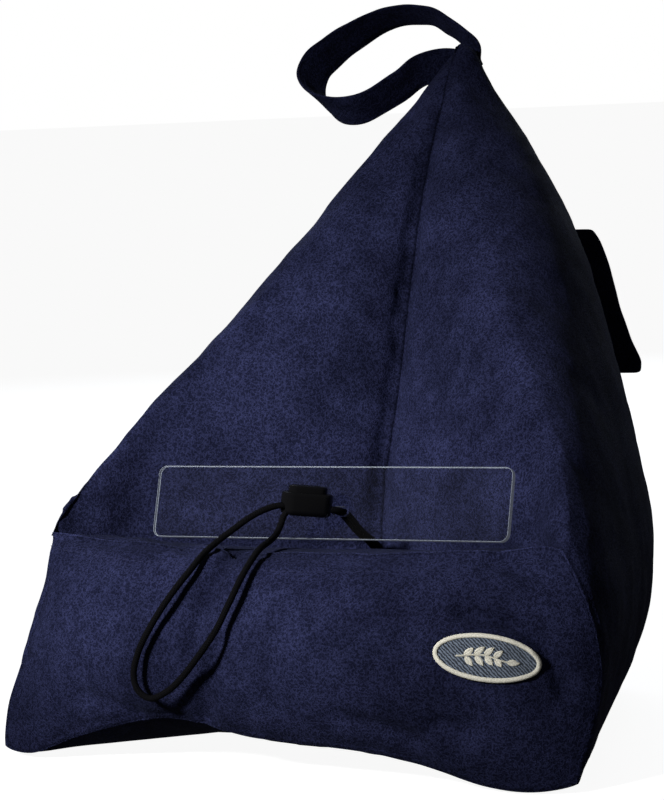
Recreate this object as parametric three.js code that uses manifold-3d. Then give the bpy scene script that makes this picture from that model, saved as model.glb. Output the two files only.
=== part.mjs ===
// A filled pyramid book rest with a clear page holder on an elastic cord.
// Millimetres, +Z up, +X to the right and +Y to the back. Sizes are given in the rest's own
// frame: x = 0 is the middle, y = 0 the line through the two top corners of the lip and z = 0
// the surface it stands on. The finished group is moved so that the middle of its footprint
// is the origin.
import * as THREE from 'three';
import { mergeVertices } from 'three/addons/utils/BufferGeometryUtils.js';
import Module from 'manifold-3d';

// The points that the panels of the filled body meet at, right half.
const TIP_TOP = { x: 0, y: 203.5, z: 331 };
const LIP_CORNER = { x: 133, left: 135, y: 1, z: 106 };
const FOOT = { x: 148, left: 151, y: -23, z: 3.5 };

// Seams and folds of the filled body, a row for each height or place along them. x is on the
// right half, and left is the same distance on the left half where the two differ.
const CENTRE_SEAM = [
  { x: -2, y: 199.5, z: 329 },
  { x: -1, y: 190, z: 318 },
  { x: 0, y: 177.7, z: 301 },
  { x: 0, y: 157, z: 268.7 },
  { x: 0, y: 134.9, z: 220.5 },
  { x: 0, y: 113.3, z: 163.3 },
  { x: 0, y: 96, z: 124.7 },
  { x: 0, y: 87, z: 84 },
];
const FACE_FOLD = [
  { x: 9, left: 3, y: 201, z: 328 },
  { x: 14, left: 6, y: 189, z: 310 },
  { x: 43, left: 36.5, y: 139, z: 254 },
  { x: 76, left: 75, y: 87, z: 199 },
  { x: 104, left: 103, y: 54, z: 163 },
  { x: 128, left: 130, y: 20, z: 128 },
  { x: 137, left: 139, y: 9, z: 117 },
  LIP_CORNER,
];
const BACK_SEAM = [
  { x: 8, left: 3, y: 206.5, z: 328 },
  { x: 12, left: 9, y: 207, z: 313 },
  { x: 29, y: 211, z: 281 },
  { x: 53, y: 214, z: 238 },
  { x: 67.5, y: 214, z: 190 },
  { x: 77, y: 215, z: 130 },
  { x: 92, y: 215, z: 78 },
  { x: 82, y: 210, z: 28 },
  { x: 70, y: 203, z: 2 },
];
const END_SEAM = [
  LIP_CORNER,
  { x: 141, left: 131, y: -3, z: 95 },
  { x: 148, left: 131, y: -5, z: 84 },
  { x: 154, left: 137.5, y: -7, z: 66 },
  { x: 157, left: 144.5, y: -11, z: 46 },
  { x: 154, left: 151.5, y: -18, z: 22 },
  FOOT,
];
const CREASE = [
  { x: 0, y: 87, z: 84 },
  { x: 45, y: 60, z: 88 },
  { x: 95, y: 37, z: 93.5 },
  LIP_CORNER,
];
const BASE_SIDE = [
  FOOT,
  { x: 124, y: 45, z: 1.5 },
  { x: 100, y: 115, z: 1.5 },
  { x: 70, y: 203, z: 2 },
];
// The lip's two long edges run from the left end to the right end.
const LIP_TOP_EDGE = [
  { x: -135, y: 1, z: 106 },
  { x: -80, y: -6, z: 103.5 },
  { x: 0, y: -8, z: 101 },
  { x: 80, y: -6, z: 103 },
  LIP_CORNER,
];
const LIP_BOTTOM_EDGE = [
  { x: -151, y: -23, z: 3.5 },
  { x: -132, y: -29, z: 2 },
  { x: -100, y: -30, z: 14.5 },
  { x: -66, y: -31, z: 22.5 },
  { x: -38, y: -32, z: 23.5 },
  { x: -6, y: -32, z: 17 },
  { x: 32, y: -32, z: 16 },
  { x: 66, y: -31, z: 12 },
  { x: 104, y: -30, z: 2.5 },
  { x: 132, y: -29, z: 0.5 },
  FOOT,
];
const BASE_BACK = [
  { x: -70, y: 203, z: 2 },
  { x: 0, y: 209, z: 2 },
  { x: 70, y: 203, z: 2 },
];

// Folds where the filled cloth is pulled in: troughs from one point to the next along them.
const FOLDS = [
  { depth: 1.5, width: 8, along: [[-26, 2, 101], [-29, -30, 86], [-33, -41, 62]] },
  { depth: 4, width: 8, along: [[-21, -42, 60], [-25, -43, 42], [-34, -34, 22]] },
  { depth: 3, width: 9, along: [[101, -26, 77], [131, -20, 68], [142, -21, 46]] },
  { depth: 2.5, width: 9, along: [[88, -39, 31], [103, -36, 28]] },
  { depth: 3, width: 8, along: [[-131, 11, 113], [-117, 17, 112]] },
  { depth: 2, width: 9, along: [[-127, 17, 120], [-99, 29, 115]] },
  { depth: 2, width: 9, along: [[104, -7, 99], [128, -7, 94]] },
];

// How hard the filling presses on each panel, in mm a step, and how the steps settle.
const FILL = { face: 0.16, side: 0.3, back: 0.2, ledge: 0.04, lip: 0.42, base: 0.14 };
const SETTLE = { steps: 70, ease: 0.5, foldHold: 0.02 };

// Rows and columns of facets. The lip, the ledge, the base and the back share their columns.
const ROWS = 28;
const FACE_COLUMNS = 15;
const END_COLUMNS = 11;
const SIDE_COLUMNS = 17;
const LEDGE_ROWS = 8;
const TIP_COLUMNS = 2;
const WIDE_COLUMNS = 2 * FACE_COLUMNS;

// The clear page holder leans back on the two face panels, its lower edge on the ledge.
const HOLDER = {
  middle: { x: 0, y: 37.9, z: 116 },
  long: 188.8,
  high: 34.6,
  thick: 3,
  corner: 4,
  leanBack: 19,
  roll: -0.5,
  yaw: -0.7,
  // How far past its edges the cloth gives way, how near it comes, and how deep it gives.
  past: 8,
  gap: 0.7,
  reach: 16,
  hole: { x: 6.6, z: -4, long: 8.2, high: 4.6 },
};

// Helpers
const vec = (p) => new THREE.Vector3(p.x, p.y, p.z);
const mirrored = (points) => points.map((p) => ({ ...p, x: -(p.left ?? p.x) }));

function curveThrough(points) {
  const curve = new THREE.CatmullRomCurve3(points.map(vec), false, 'centripetal');
  return (t) => curve.getPointAt(t);
}

// Two curves as one, the first taking the share of it that its columns have.
function joined(first, second, share) {
  return (t) => (t <= share ? first(t / share) : second((t - share) / (1 - share)));
}

function straight(a, b) {
  return (t) => new THREE.Vector3().lerpVectors(a, b, t);
}

// The smooth surface between four curves that meet at its corners.
function coons(left, right, top, bottom) {
  return (u, v) => {
    const across = left(v).multiplyScalar(1 - u).addScaledVector(right(v), u);
    const down = top(u).multiplyScalar(1 - v).addScaledVector(bottom(u), v);
    const corners = left(0).multiplyScalar((1 - u) * (1 - v))
      .addScaledVector(right(0), u * (1 - v))
      .addScaledVector(left(1), (1 - u) * v)
      .addScaledVector(right(1), u * v);
    return across.add(down).sub(corners);
  };
}

function holderPlace() {
  const { leanBack, roll, yaw, middle } = HOLDER;
  const turn = new THREE.Euler(...[-leanBack, roll, yaw].map(THREE.MathUtils.degToRad));
  return new THREE.Matrix4().makeRotationFromEuler(turn).setPosition(vec(middle));
}

// A net of shared points and triangles that the panels are added to.
class Net {
  constructor() {
    this.points = [];
    this.holds = [];
    this.fills = [];
    this.faces = [];
    this.index = new Map();
  }

  point(p, hold, fill) {
    const key = [p.x, p.y, p.z].map((value) => value.toFixed(3)).join();
    if (!this.index.has(key)) {
      this.index.set(key, this.points.length);
      this.points.push(p.clone());
      this.holds.push(hold);
      this.fills.push(fill);
    }
    const at = this.index.get(key);
    this.holds[at] = Math.min(this.holds[at], hold);
    return at;
  }

  triangle(a, b, c) {
    if (a !== b && b !== c && c !== a) this.faces.push([a, b, c]);
  }

  // Joins two rows of points that may differ in number, seen with the first row above.
  zip(upper, lower) {
    let i = 0;
    let j = 0;
    while (i < upper.length - 1 || j < lower.length - 1) {
      const next = (i + 1) / (upper.length - 1 || 1);
      const nextLower = (j + 1) / (lower.length - 1 || 1);
      const stepLower = i >= upper.length - 1 || (j < lower.length - 1 && nextLower <= next);
      if (stepLower) {
        this.triangle(upper[i], lower[j], lower[j + 1]);
        j += 1;
      } else {
        this.triangle(upper[i], lower[j], upper[i + 1]);
        i += 1;
      }
    }
  }

  // Adds a panel as rows of points. columns(v) gives how many facets a row has, and
  // holds says how freely its first and last column may move.
  panel(surface, rows, columns, fill, holds, flipped = false) {
    let above = null;
    for (let r = 0; r <= rows; r += 1) {
      const v = r / rows;
      const count = columns(v);
      const row = [];
      for (let c = 0; c <= count; c += 1) {
        const edge = r === 0 || r === rows ? 0 : 1;
        const side = c === 0 ? holds.first : c === count ? holds.last : 1;
        row.push(this.point(surface(c / count, v), Math.min(edge, side), fill));
      }
      if (flipped) row.reverse();
      if (above) this.zip(above, row);
      above = row;
    }
  }

  // Closes a ring of points with a fan from its middle.
  fan(ring, middle) {
    const hub = this.point(middle, 0, 0);
    ring.forEach((at, k) => this.triangle(hub, at, ring[(k + 1) % ring.length]));
  }

  normals() {
    const out = this.points.map(() => new THREE.Vector3());
    const ab = new THREE.Vector3();
    const ac = new THREE.Vector3();
    for (const [a, b, c] of this.faces) {
      ab.subVectors(this.points[b], this.points[a]);
      ac.subVectors(this.points[c], this.points[a]);
      ab.cross(ac);
      out[a].add(ab);
      out[b].add(ab);
      out[c].add(ab);
    }
    out.forEach((normal) => normal.normalize());
    return out;
  }

  neighbours() {
    const near = this.points.map(() => new Set());
    for (const [a, b, c] of this.faces) {
      near[a].add(b).add(c);
      near[b].add(a).add(c);
      near[c].add(a).add(b);
    }
    return near.map((set) => [...set]);
  }

  // Lets the filling press the panels out while the cloth holds them together. Nothing goes
  // below the surface that the rest stands on.
  settle() {
    const near = this.neighbours();
    for (let step = 0; step < SETTLE.steps; step += 1) {
      const normals = this.normals();
      const moved = this.points.map((p, k) => {
        if (!this.holds[k]) return p;
        const pull = new THREE.Vector3();
        near[k].forEach((n) => pull.add(this.points[n]));
        pull.divideScalar(near[k].length).sub(p).multiplyScalar(SETTLE.ease);
        pull.addScaledVector(normals[k], this.fills[k]).multiplyScalar(this.holds[k]);
        return p.clone().add(pull);
      });
      moved.forEach((p) => { p.z = Math.max(p.z, 0); });
      this.points = moved;
    }
  }

  // Presses the folds in, each a trough that is deepest along its middle line.
  press(folds) {
    const normals = this.normals();
    const nearest = new THREE.Vector3();
    this.points.forEach((p, k) => {
      let sunk = 0;
      folds.forEach(({ depth, width, along }) => {
        const line = along.map((xyz) => new THREE.Vector3(...xyz));
        const far = line.slice(1).map((end, i) => (
          new THREE.Line3(line[i], end).closestPointToPoint(p, true, nearest).distanceTo(p)));
        sunk = Math.max(sunk, depth * Math.exp(-((Math.min(...far) / width) ** 2)));
      });
      if (this.holds[k]) p.addScaledVector(normals[k], -sunk);
    });
  }

  // Lets the page holder lean on the cloth: what would reach through it goes behind it, and
  // what would reach into its lower edge goes below that.
  makeRoom(holder) {
    const { long, high, thick, past, gap, reach } = holder;
    const placed = holderPlace();
    const back = placed.clone().invert();
    this.points.forEach((p) => {
      const local = p.clone().applyMatrix4(back);
      const outside = Math.max(Math.abs(local.x) - long / 2, local.z - high / 2, 0);
      const fade = THREE.MathUtils.smoothstep(outside, past, 3 * past);
      const behind = thick / 2 + gap;
      if (fade === 1 || local.y > behind || local.y < -reach) return;
      const under = -high / 2 - gap;
      if (local.z > under - 1) local.y += (behind - local.y) * (1 - fade);
      else local.z = Math.min(local.z, under);
      p.copy(local.applyMatrix4(placed));
    });
  }

  geometry() {
    const made = new THREE.BufferGeometry();
    const flat = this.points.flatMap((p) => [p.x, p.y, p.z]);
    made.setAttribute('position', new THREE.Float32BufferAttribute(flat, 3));
    made.setIndex(this.faces.flat());
    return made;
  }
}

// The filled body
function makeBag() {
  const net = new Net();
  const growing = (top, bottom) => (v) => Math.round(top + (bottom - top) * v);
  const centre = curveThrough(CENTRE_SEAM);
  const lipTop = curveThrough(LIP_TOP_EDGE);
  const lipBottom = curveThrough(LIP_BOTTOM_EDGE);
  const baseBack = curveThrough(BASE_BACK);
  const halves = [
    { flipped: false, side: (points) => points },
    { flipped: true, side: mirrored },
  ];
  const made = halves.map(({ flipped, side }) => {
    const fold = curveThrough(side(FACE_FOLD));
    const back = curveThrough(side(BACK_SEAM));
    const end = curveThrough(side(END_SEAM));
    const crease = curveThrough(side(CREASE));
    const baseSide = curveThrough(side(BASE_SIDE));
    const foot = joined(end, baseSide, END_COLUMNS / (END_COLUMNS + SIDE_COLUMNS));
    net.panel(
      coons(centre, fold, straight(centre(0), fold(0)), crease),
      ROWS, growing(TIP_COLUMNS, FACE_COLUMNS), FILL.face,
      { first: 0, last: SETTLE.foldHold }, flipped,
    );
    net.panel(
      coons(fold, back, straight(fold(0), back(0)), foot),
      ROWS, growing(TIP_COLUMNS, END_COLUMNS + SIDE_COLUMNS), FILL.side,
      { first: SETTLE.foldHold, last: 0 }, flipped,
    );
    return { fold, back, end, crease, baseSide };
  });
  const [right, left] = made;
  const pinned = { first: 0, last: 0 };
  const even = () => WIDE_COLUMNS;
  net.panel(
    coons(right.back, left.back, straight(right.back(0), left.back(0)), (t) => baseBack(1 - t)),
    ROWS, growing(TIP_COLUMNS, WIDE_COLUMNS), FILL.back, pinned,
  );
  const bothCreases = joined((t) => left.crease(1 - t), right.crease, 0.5);
  const corner = (curve, t) => () => curve(t);
  net.panel(
    coons(corner(lipTop, 0), corner(lipTop, 1), bothCreases, lipTop),
    LEDGE_ROWS, even, FILL.ledge, pinned,
  );
  net.panel(
    coons(left.end, right.end, lipTop, lipBottom),
    END_COLUMNS, even, FILL.lip, pinned,
  );
  net.panel(
    coons(left.baseSide, right.baseSide, lipBottom, baseBack),
    SIDE_COLUMNS, even, FILL.base, pinned,
  );
  const ringAt = (from, to) => {
    const out = [];
    for (let c = 0; c < TIP_COLUMNS; c += 1) {
      out.push(net.point(straight(from, to)(c / TIP_COLUMNS), 0, 0));
    }
    return out;
  };
  const front = centre(0);
  const corners = [front, right.fold(0), right.back(0), left.back(0), left.fold(0)];
  const ring = corners.flatMap((from, k) => ringAt(from, corners[(k + 1) % corners.length]));
  net.fan(ring, vec(TIP_TOP));
  net.settle();
  net.press(FOLDS);
  net.makeRoom(HOLDER);
  return net.geometry();
}

// The carry strap's route: where its middle runs, how far its upper edge leans to the front
// and to the right for each millimetre it rises, and how wide it is gathered.
const STRAP = {
  thick: 2.4,
  steps: 46,
  along: [
    { x: 4, y: 212, z: 315, front: 0, right: 0, wide: 14 },
    { x: -2, y: 211.8, z: 317, front: 0, right: 0, wide: 15 },
    { x: -11, y: 210, z: 318, front: 0.1, right: 0, wide: 17 },
    { x: -22.8, y: 203.5, z: 315.4, front: 0.35, right: 0, wide: 18 },
    { x: -32.2, y: 198, z: 308, front: 0.6, right: 0, wide: 19 },
    { x: -52.4, y: 189, z: 297.3, front: 0.75, right: -0.1, wide: 19 },
    { x: -65.7, y: 189, z: 298, front: 0.8, right: -0.5, wide: 19 },
    { x: -78, y: 194, z: 304, front: 0.8, right: -1.1, wide: 19 },
    { x: -86.4, y: 203, z: 312.4, front: 0.8, right: -1.6, wide: 19 },
    { x: -87.2, y: 212, z: 320.6, front: 0.9, right: -1.8, wide: 19 },
    { x: -81.6, y: 220, z: 328, front: 1, right: -1.6, wide: 19 },
    { x: -71.7, y: 227, z: 335.6, front: 1.1, right: -1.2, wide: 19 },
    { x: -58.5, y: 231, z: 342, front: 1.2, right: -0.9, wide: 19 },
    { x: -44.9, y: 231.5, z: 344.8, front: 1.5, right: -0.5, wide: 18 },
    { x: -26.7, y: 227, z: 343.2, front: 1.7, right: -0.1, wide: 16 },
    { x: -13.8, y: 221, z: 337.6, front: 1.6, right: 0, wide: 14 },
    { x: -3, y: 216, z: 331, front: 1, right: 0, wide: 12 },
    { x: 3, y: 215, z: 325, front: 0.3, right: 0, wide: 12 },
    { x: 4, y: 214.9, z: 316, front: 0, right: 0, wide: 12 },
  ],
};

// The pocket's flap, a row for each height: its two edges and how far it stands off the back.
const FLAP = {
  thick: 2.4,
  columns: 12,
  seamShare: 0.72,
  rows: [
    { z: 231, left: -58, right: 61, off: 0.5, edgeOff: 3 },
    { z: 225, left: -60, right: 64, off: 0.9, edgeOff: 5 },
    { z: 213, left: -62, right: 67, off: 1.8, edgeOff: 7 },
    { z: 199, left: -65, right: 69.5, off: 2.8, edgeOff: 8 },
    { z: 185, left: -67, right: 72, off: 3.6, edgeOff: 10 },
    { z: 173, left: -69, right: 74, off: 4.4, edgeOff: 13 },
    { z: 162, left: -70, right: 78, off: 5, edgeOff: 16 },
    { z: 155.5, left: -69, right: 77, off: 5.4, edgeOff: 16 },
  ],
};

// The oval badge, and its rise at a share of its radius: a low field inside a raised border.
const BADGE = {
  middle: { x: 110.4, y: -30.5, z: 60 },
  facing: { x: 0.27, y: -0.91, z: 0.3 },
  long: 24,
  short: 10.7,
  slope: -8.3,
  spokes: 36,
  gap: 0.7,
  rings: [
    { share: 0.35, rise: 1.6 },
    { share: 0.66, rise: 1.6 },
    { share: 0.8, rise: 1.7 },
    { share: 0.86, rise: 2.2 },
    { share: 0.94, rise: 2.3 },
    { share: 1, rise: 1.5 },
  ],
};

// The cord lock. Its own x runs along the two strands, its z to the top of the button.
const LOCK = {
  middle: { x: -4.6, y: 23.5, z: 115.8 },
  along: { x: 0.748, y: 0.646, z: -0.154 },
  long: 24.5,
  deep: 11.5,
  below: 3.8,
  above: 7.2,
  channel: { wide: 7.4, high: 4.2 },
  pocket: { long: 19.2, deep: 8.6, floor: 2.3 },
  button: { long: 18.5, deep: 7.9, bottom: 5.1, top: 10.4 },
  mouth: { from: -13, to: -4.6 },
  bevel: 1,
};

// The elastic cord's route, from one end at the foot of the centre seam to the other.
const CORD = {
  thick: 3,
  sides: 8,
  steps: 80,
  along: [
    [-1.7, 84.2, 87.6],
    [-0.6, 75, 93],
    [1.2, 64, 98],
    [3.2, 54, 103],
    [4.6, 46, 107.6],
    [5, 40.5, 110.8],
    [4.95, 36.6, 112.2],
    [4.6, 34.5, 113.1],
    [3.5, 32.7, 113.9],
    [-5.7, 24.8, 115.8],
    [-14.8, 16.8, 117.7],
    [-19.6, 11.8, 116.6],
    [-25, 6, 113.5],
    [-29.8, 0, 109.3],
    [-34.1, -7, 104.9],
    [-36.9, -17.3, 100.1],
    [-37.8, -27.5, 94.9],
    [-43.7, -38.5, 83.6],
    [-51.9, -44.3, 69.6],
    [-57.9, -46.3, 57.7],
    [-60.3, -47, 47.4],
    [-58.1, -47.5, 41.1],
    [-51.9, -47.5, 37.6],
    [-43.5, -47, 40.8],
    [-35.8, -47, 46.9],
    [-24.5, -47, 59.3],
    [-17, -44.5, 70],
    [-12.1, -39.2, 82.2],
    [-9.9, -29.5, 93.3],
    [-9.2, -15.8, 101.8],
    [-9.8, -7, 103.6],
    [-11.3, 2, 104.6],
    [-13, 9.5, 106],
    [-13, 13.6, 109.4],
    [-12, 15, 113.1],
    [-10.2, 16.5, 115.5],
    [-7.7, 18.7, 116.3],
    [-3.5, 22.3, 115.8],
    [5.6, 30.2, 113.9],
    [7.5, 33.1, 113.3],
    [8.2, 36.6, 112.2],
    [8.2, 40.5, 110.8],
    [7.6, 46, 107.6],
    [6.2, 54, 102.9],
    [4.4, 64, 97.7],
    [2.8, 75, 92.8],
    [1.7, 84.2, 87.6],
  ],
};

// Solids that are cut or joined
const wasm = await Module();
wasm.setup();

function toSolid(geometry) {
  const plain = geometry.clone();
  Object.keys(plain.attributes).filter((key) => key !== 'position')
    .forEach((key) => plain.deleteAttribute(key));
  const merged = mergeVertices(plain, 1e-4);
  const mesh = new wasm.Mesh({
    numProp: 3,
    vertProperties: new Float32Array(merged.attributes.position.array),
    triVerts: new Uint32Array(merged.index.array),
  });
  return new wasm.Manifold(mesh);
}

function fromSolid(solid) {
  const mesh = solid.getMesh();
  const made = new THREE.BufferGeometry();
  made.setAttribute('position', new THREE.BufferAttribute(mesh.vertProperties, 3));
  made.setIndex(new THREE.BufferAttribute(mesh.triVerts, 1));
  return made;
}

// A slab with round ends: length along x, width along y, from one height to another.
function obround(long, wide, from, to, bevel = 0) {
  const r = wide / 2 - bevel;
  const reach = (long - wide) / 2;
  const shape = new THREE.Shape();
  shape.absarc(reach, 0, r, -Math.PI / 2, Math.PI / 2);
  shape.absarc(-reach, 0, r, Math.PI / 2, Math.PI * 1.5);
  shape.closePath();
  const made = new THREE.ExtrudeGeometry(shape, {
    depth: to - from - 2 * bevel,
    curveSegments: 10,
    bevelEnabled: bevel > 0,
    bevelSize: bevel,
    bevelThickness: bevel,
    bevelSegments: 2,
  });
  return made.translate(0, 0, from + bevel);
}

// The carry strap: one band with its edges rounded, its width turned along its route.
function makeStrap() {
  const rows = STRAP.along;
  const middle = new THREE.CatmullRomCurve3(rows.map(vec), false, 'centripetal');
  const front = new THREE.Vector3(0.47, -0.88, 0);
  const right = new THREE.Vector3(0.88, 0.47, 0);
  const share = (t) => Math.min(t * (rows.length - 1), rows.length - 1 - 1e-9);
  const mix = (t, key) => {
    const at = Math.floor(share(t));
    return THREE.MathUtils.lerp(rows[at][key], rows[at + 1][key], share(t) - at);
  };
  const bevel = STRAP.thick / 3;
  const half = STRAP.thick / 2;
  const net = new Net();
  let above = null;
  let firstRing = null;
  for (let k = 0; k <= STRAP.steps; k += 1) {
    const t = k / STRAP.steps;
    const p = middle.getPoint(t);
    const along = middle.getTangent(t);
    const across = new THREE.Vector3(0, 0, 1)
      .addScaledVector(front, mix(t, 'front'))
      .addScaledVector(right, mix(t, 'right'));
    across.addScaledVector(along, -across.dot(along)).normalize();
    const out = new THREE.Vector3().crossVectors(across, along);
    const w = mix(t, 'wide') / 2;
    const corners = [[w, 0], [w - bevel, half], [bevel - w, half], [-w, 0], [bevel - w, -half], [w - bevel, -half]];
    const ring = corners.map(([a, b]) => net.point(
      p.clone().addScaledVector(across, a).addScaledVector(out, b), 0, 0,
    ));
    if (above) net.zip([...above, above[0]], [...ring, ring[0]]);
    firstRing ??= ring;
    above = ring;
  }
  net.fan(firstRing, middle.getPoint(0));
  net.fan([...above].reverse(), middle.getPoint(1));
  return net.geometry();
}

// Where the line from a point along a direction first meets the filled body.
function meeting(bag, from, direction) {
  const caster = new THREE.Raycaster(from, direction.clone().normalize());
  return caster.intersectObject(bag)[0].point;
}

// The flap: a sheet that follows the back and stands off it more and more towards its
// lower edge and its right corner.
function makeFlap(bag) {
  const net = new Net();
  const forward = new THREE.Vector3(0, -1, 0);
  const sheet = (extra) => FLAP.rows.map((row) => {
    const out = [];
    for (let c = 0; c <= FLAP.columns; c += 1) {
      const u = c / FLAP.columns;
      const x = THREE.MathUtils.lerp(row.left, row.right, u);
      const back = meeting(bag, new THREE.Vector3(x * FLAP.seamShare, 400, row.z), forward);
      const off = THREE.MathUtils.lerp(row.off, row.edgeOff, u ** 4);
      out.push(net.point(new THREE.Vector3(x, back.y + off + extra, row.z), 0, 0));
    }
    return out;
  });
  const inner = sheet(0);
  const outer = sheet(FLAP.thick);
  const last = FLAP.rows.length - 1;
  for (let r = 0; r < last; r += 1) {
    net.zip(inner[r], inner[r + 1]);
    net.zip([...outer[r]].reverse(), [...outer[r + 1]].reverse());
    net.zip([outer[r][0], inner[r][0]], [outer[r + 1][0], inner[r + 1][0]]);
    net.zip(
      [inner[r][FLAP.columns], outer[r][FLAP.columns]],
      [inner[r + 1][FLAP.columns], outer[r + 1][FLAP.columns]],
    );
  }
  net.zip(outer[0], inner[0]);
  net.zip(inner[last], outer[last]);
  return net.geometry();
}

// The badge: rings of points laid on the lip, then raised to its thickness.
function makeBadge(bag) {
  const net = new Net();
  const facing = vec(BADGE.facing).normalize();
  const level = new THREE.Vector3(0, 0, 1).cross(facing).normalize();
  const across = level.applyAxisAngle(facing, THREE.MathUtils.degToRad(BADGE.slope));
  const up = new THREE.Vector3().crossVectors(facing, across);
  const away = facing.clone().negate();
  const place = (share, angle, rise) => {
    const from = vec(BADGE.middle)
      .addScaledVector(across, share * BADGE.long * Math.cos(angle))
      .addScaledVector(up, share * BADGE.short * Math.sin(angle))
      .addScaledVector(facing, 60);
    return net.point(meeting(bag, from, away).addScaledVector(facing, BADGE.gap + rise), 0, 0);
  };
  const ring = (share, rise) => Array.from(
    { length: BADGE.spokes },
    (_, k) => place(share, (2 * Math.PI * k) / BADGE.spokes, rise),
  );
  const side = (rings) => rings.slice(1).forEach((outer, k) => {
    const inner = rings[k];
    net.zip([...inner, inner[0]], [...outer, outer[0]]);
  });
  const top = BADGE.rings.map(({ share, rise }) => ring(share, rise));
  const bottom = BADGE.rings.map(({ share }) => ring(share, 0)).reverse();
  side([...top, ...bottom]);
  const hub = place(0, 0, BADGE.rings[0].rise);
  const seat = place(0, 0, 0);
  const near = top[0];
  const far = bottom[bottom.length - 1];
  near.forEach((at, k) => net.triangle(hub, at, near[(k + 1) % near.length]));
  far.forEach((at, k) => net.triangle(seat, far[(k + 1) % far.length], at));
  return net.geometry();
}

// The page holder, drawn upright and then leant back.
function makeHolder() {
  const { long, high, thick, corner, hole } = HOLDER;
  const [w, h] = [long / 2, high / 2];
  const shape = new THREE.Shape();
  shape.absarc(w - corner, h - corner, corner, 0, Math.PI / 2);
  shape.absarc(corner - w, h - corner, corner, Math.PI / 2, Math.PI);
  shape.absarc(corner - w, corner - h, corner, Math.PI, Math.PI * 1.5);
  shape.absarc(w - corner, corner - h, corner, Math.PI * 1.5, Math.PI * 2);
  shape.closePath();
  const slot = new THREE.Path();
  const reach = (hole.long - hole.high) / 2;
  slot.absarc(hole.x + reach, hole.z, hole.high / 2, Math.PI / 2, -Math.PI / 2, true);
  slot.absarc(hole.x - reach, hole.z, hole.high / 2, -Math.PI / 2, -Math.PI * 1.5, true);
  slot.closePath();
  shape.holes.push(slot);
  const made = new THREE.ExtrudeGeometry(shape, { depth: thick, bevelEnabled: false, curveSegments: 8 });
  made.translate(0, 0, -thick / 2).rotateX(Math.PI / 2);
  return made;
}

function lockFrame() {
  const along = vec(LOCK.along).normalize();
  const across = new THREE.Vector3(0, 0, 1).cross(along).normalize();
  const up = new THREE.Vector3().crossVectors(along, across);
  return new THREE.Matrix4().makeBasis(along, across, up).setPosition(vec(LOCK.middle));
}

// The lock's barrel: a channel for the two strands, a mouth below where the front strand
// drops out, and a pocket for the button.
function makeBarrel() {
  const { long, deep, below, above, channel, pocket, mouth } = LOCK;
  const body = toSolid(obround(long, deep, -below, above, LOCK.bevel));
  const past = 2 * long;
  const bore = obround(channel.wide, channel.high, -past / 2, past / 2);
  bore.rotateZ(Math.PI / 2).rotateY(Math.PI / 2);
  const well = obround(pocket.long, pocket.deep, pocket.floor, above + 1);
  const drop = new THREE.BoxGeometry(mouth.to - mouth.from, channel.wide / 2, below + 1);
  drop.translate((mouth.from + mouth.to) / 2, -channel.wide / 4, -(below + 1) / 2);
  return fromSolid([bore, well, drop].reduce((left, cut) => left.subtract(toSolid(cut)), body));
}

function makeButton() {
  const { long, deep, bottom, top } = LOCK.button;
  return obround(long, deep, bottom, top, LOCK.bevel / 1.5);
}

function makeCord() {
  const section = new THREE.Shape(Array.from({ length: CORD.sides }, (_, k) => {
    const angle = (2 * Math.PI * k) / CORD.sides;
    return new THREE.Vector2(Math.cos(angle), Math.sin(angle)).multiplyScalar(CORD.thick / 2);
  }));
  const points = CORD.along.map(([x, y, z]) => new THREE.Vector3(x, y, z));
  const route = new THREE.CatmullRomCurve3(points, false, 'centripetal');
  return new THREE.ExtrudeGeometry(section, {
    steps: CORD.steps,
    extrudePath: route,
    bevelEnabled: false,
  });
}

// Materials
const SUEDE = new THREE.MeshStandardMaterial({ color: 0x262b48, roughness: 0.95, metalness: 0 });
const STITCHED = new THREE.MeshStandardMaterial({ color: 0xc9c4b0, roughness: 0.8, metalness: 0 });
const CLEAR = new THREE.MeshStandardMaterial({
  color: 0xeef2f4,
  roughness: 0.08,
  metalness: 0,
  transparent: true,
  opacity: 0.25,
});
const ELASTIC = new THREE.MeshStandardMaterial({ color: 0x0b0b0d, roughness: 0.85, metalness: 0 });
const BLACK = new THREE.MeshStandardMaterial({ color: 0x0c0c0e, roughness: 0.45, metalness: 0 });

const group = new THREE.Group();

function add(name, geometry, material) {
  const mesh = new THREE.Mesh(geometry, material);
  mesh.name = name;
  group.add(mesh);
  return mesh;
}

const bag = add('bag', makeBag(), SUEDE);
add('carry-strap', makeStrap(), SUEDE);
add('pocket-flap', makeFlap(bag), SUEDE);
add('badge', makeBadge(bag), STITCHED);
add('page-holder', makeHolder(), CLEAR).applyMatrix4(holderPlace());
const box = new THREE.Box3().setFromObject(group, true);

add('cord', makeCord(), ELASTIC);
const frame = lockFrame();
add('lock-barrel', makeBarrel(), BLACK).applyMatrix4(frame);
add('lock-button', makeButton(), BLACK).applyMatrix4(frame);

// The middle of the footprint, without the cord and its lock, becomes the origin.
group.position.set(-(box.min.x + box.max.x) / 2, -(box.min.y + box.max.y) / 2, -box.min.z);

export default group;
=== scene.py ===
"""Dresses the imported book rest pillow: suede cover, stitching, clear strip, cord and lock."""
import math

import bmesh
import bpy
from mathutils import Matrix, Vector, noise
from mathutils.bvhtree import BVHTree
from mathutils.kdtree import KDTree


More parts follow.
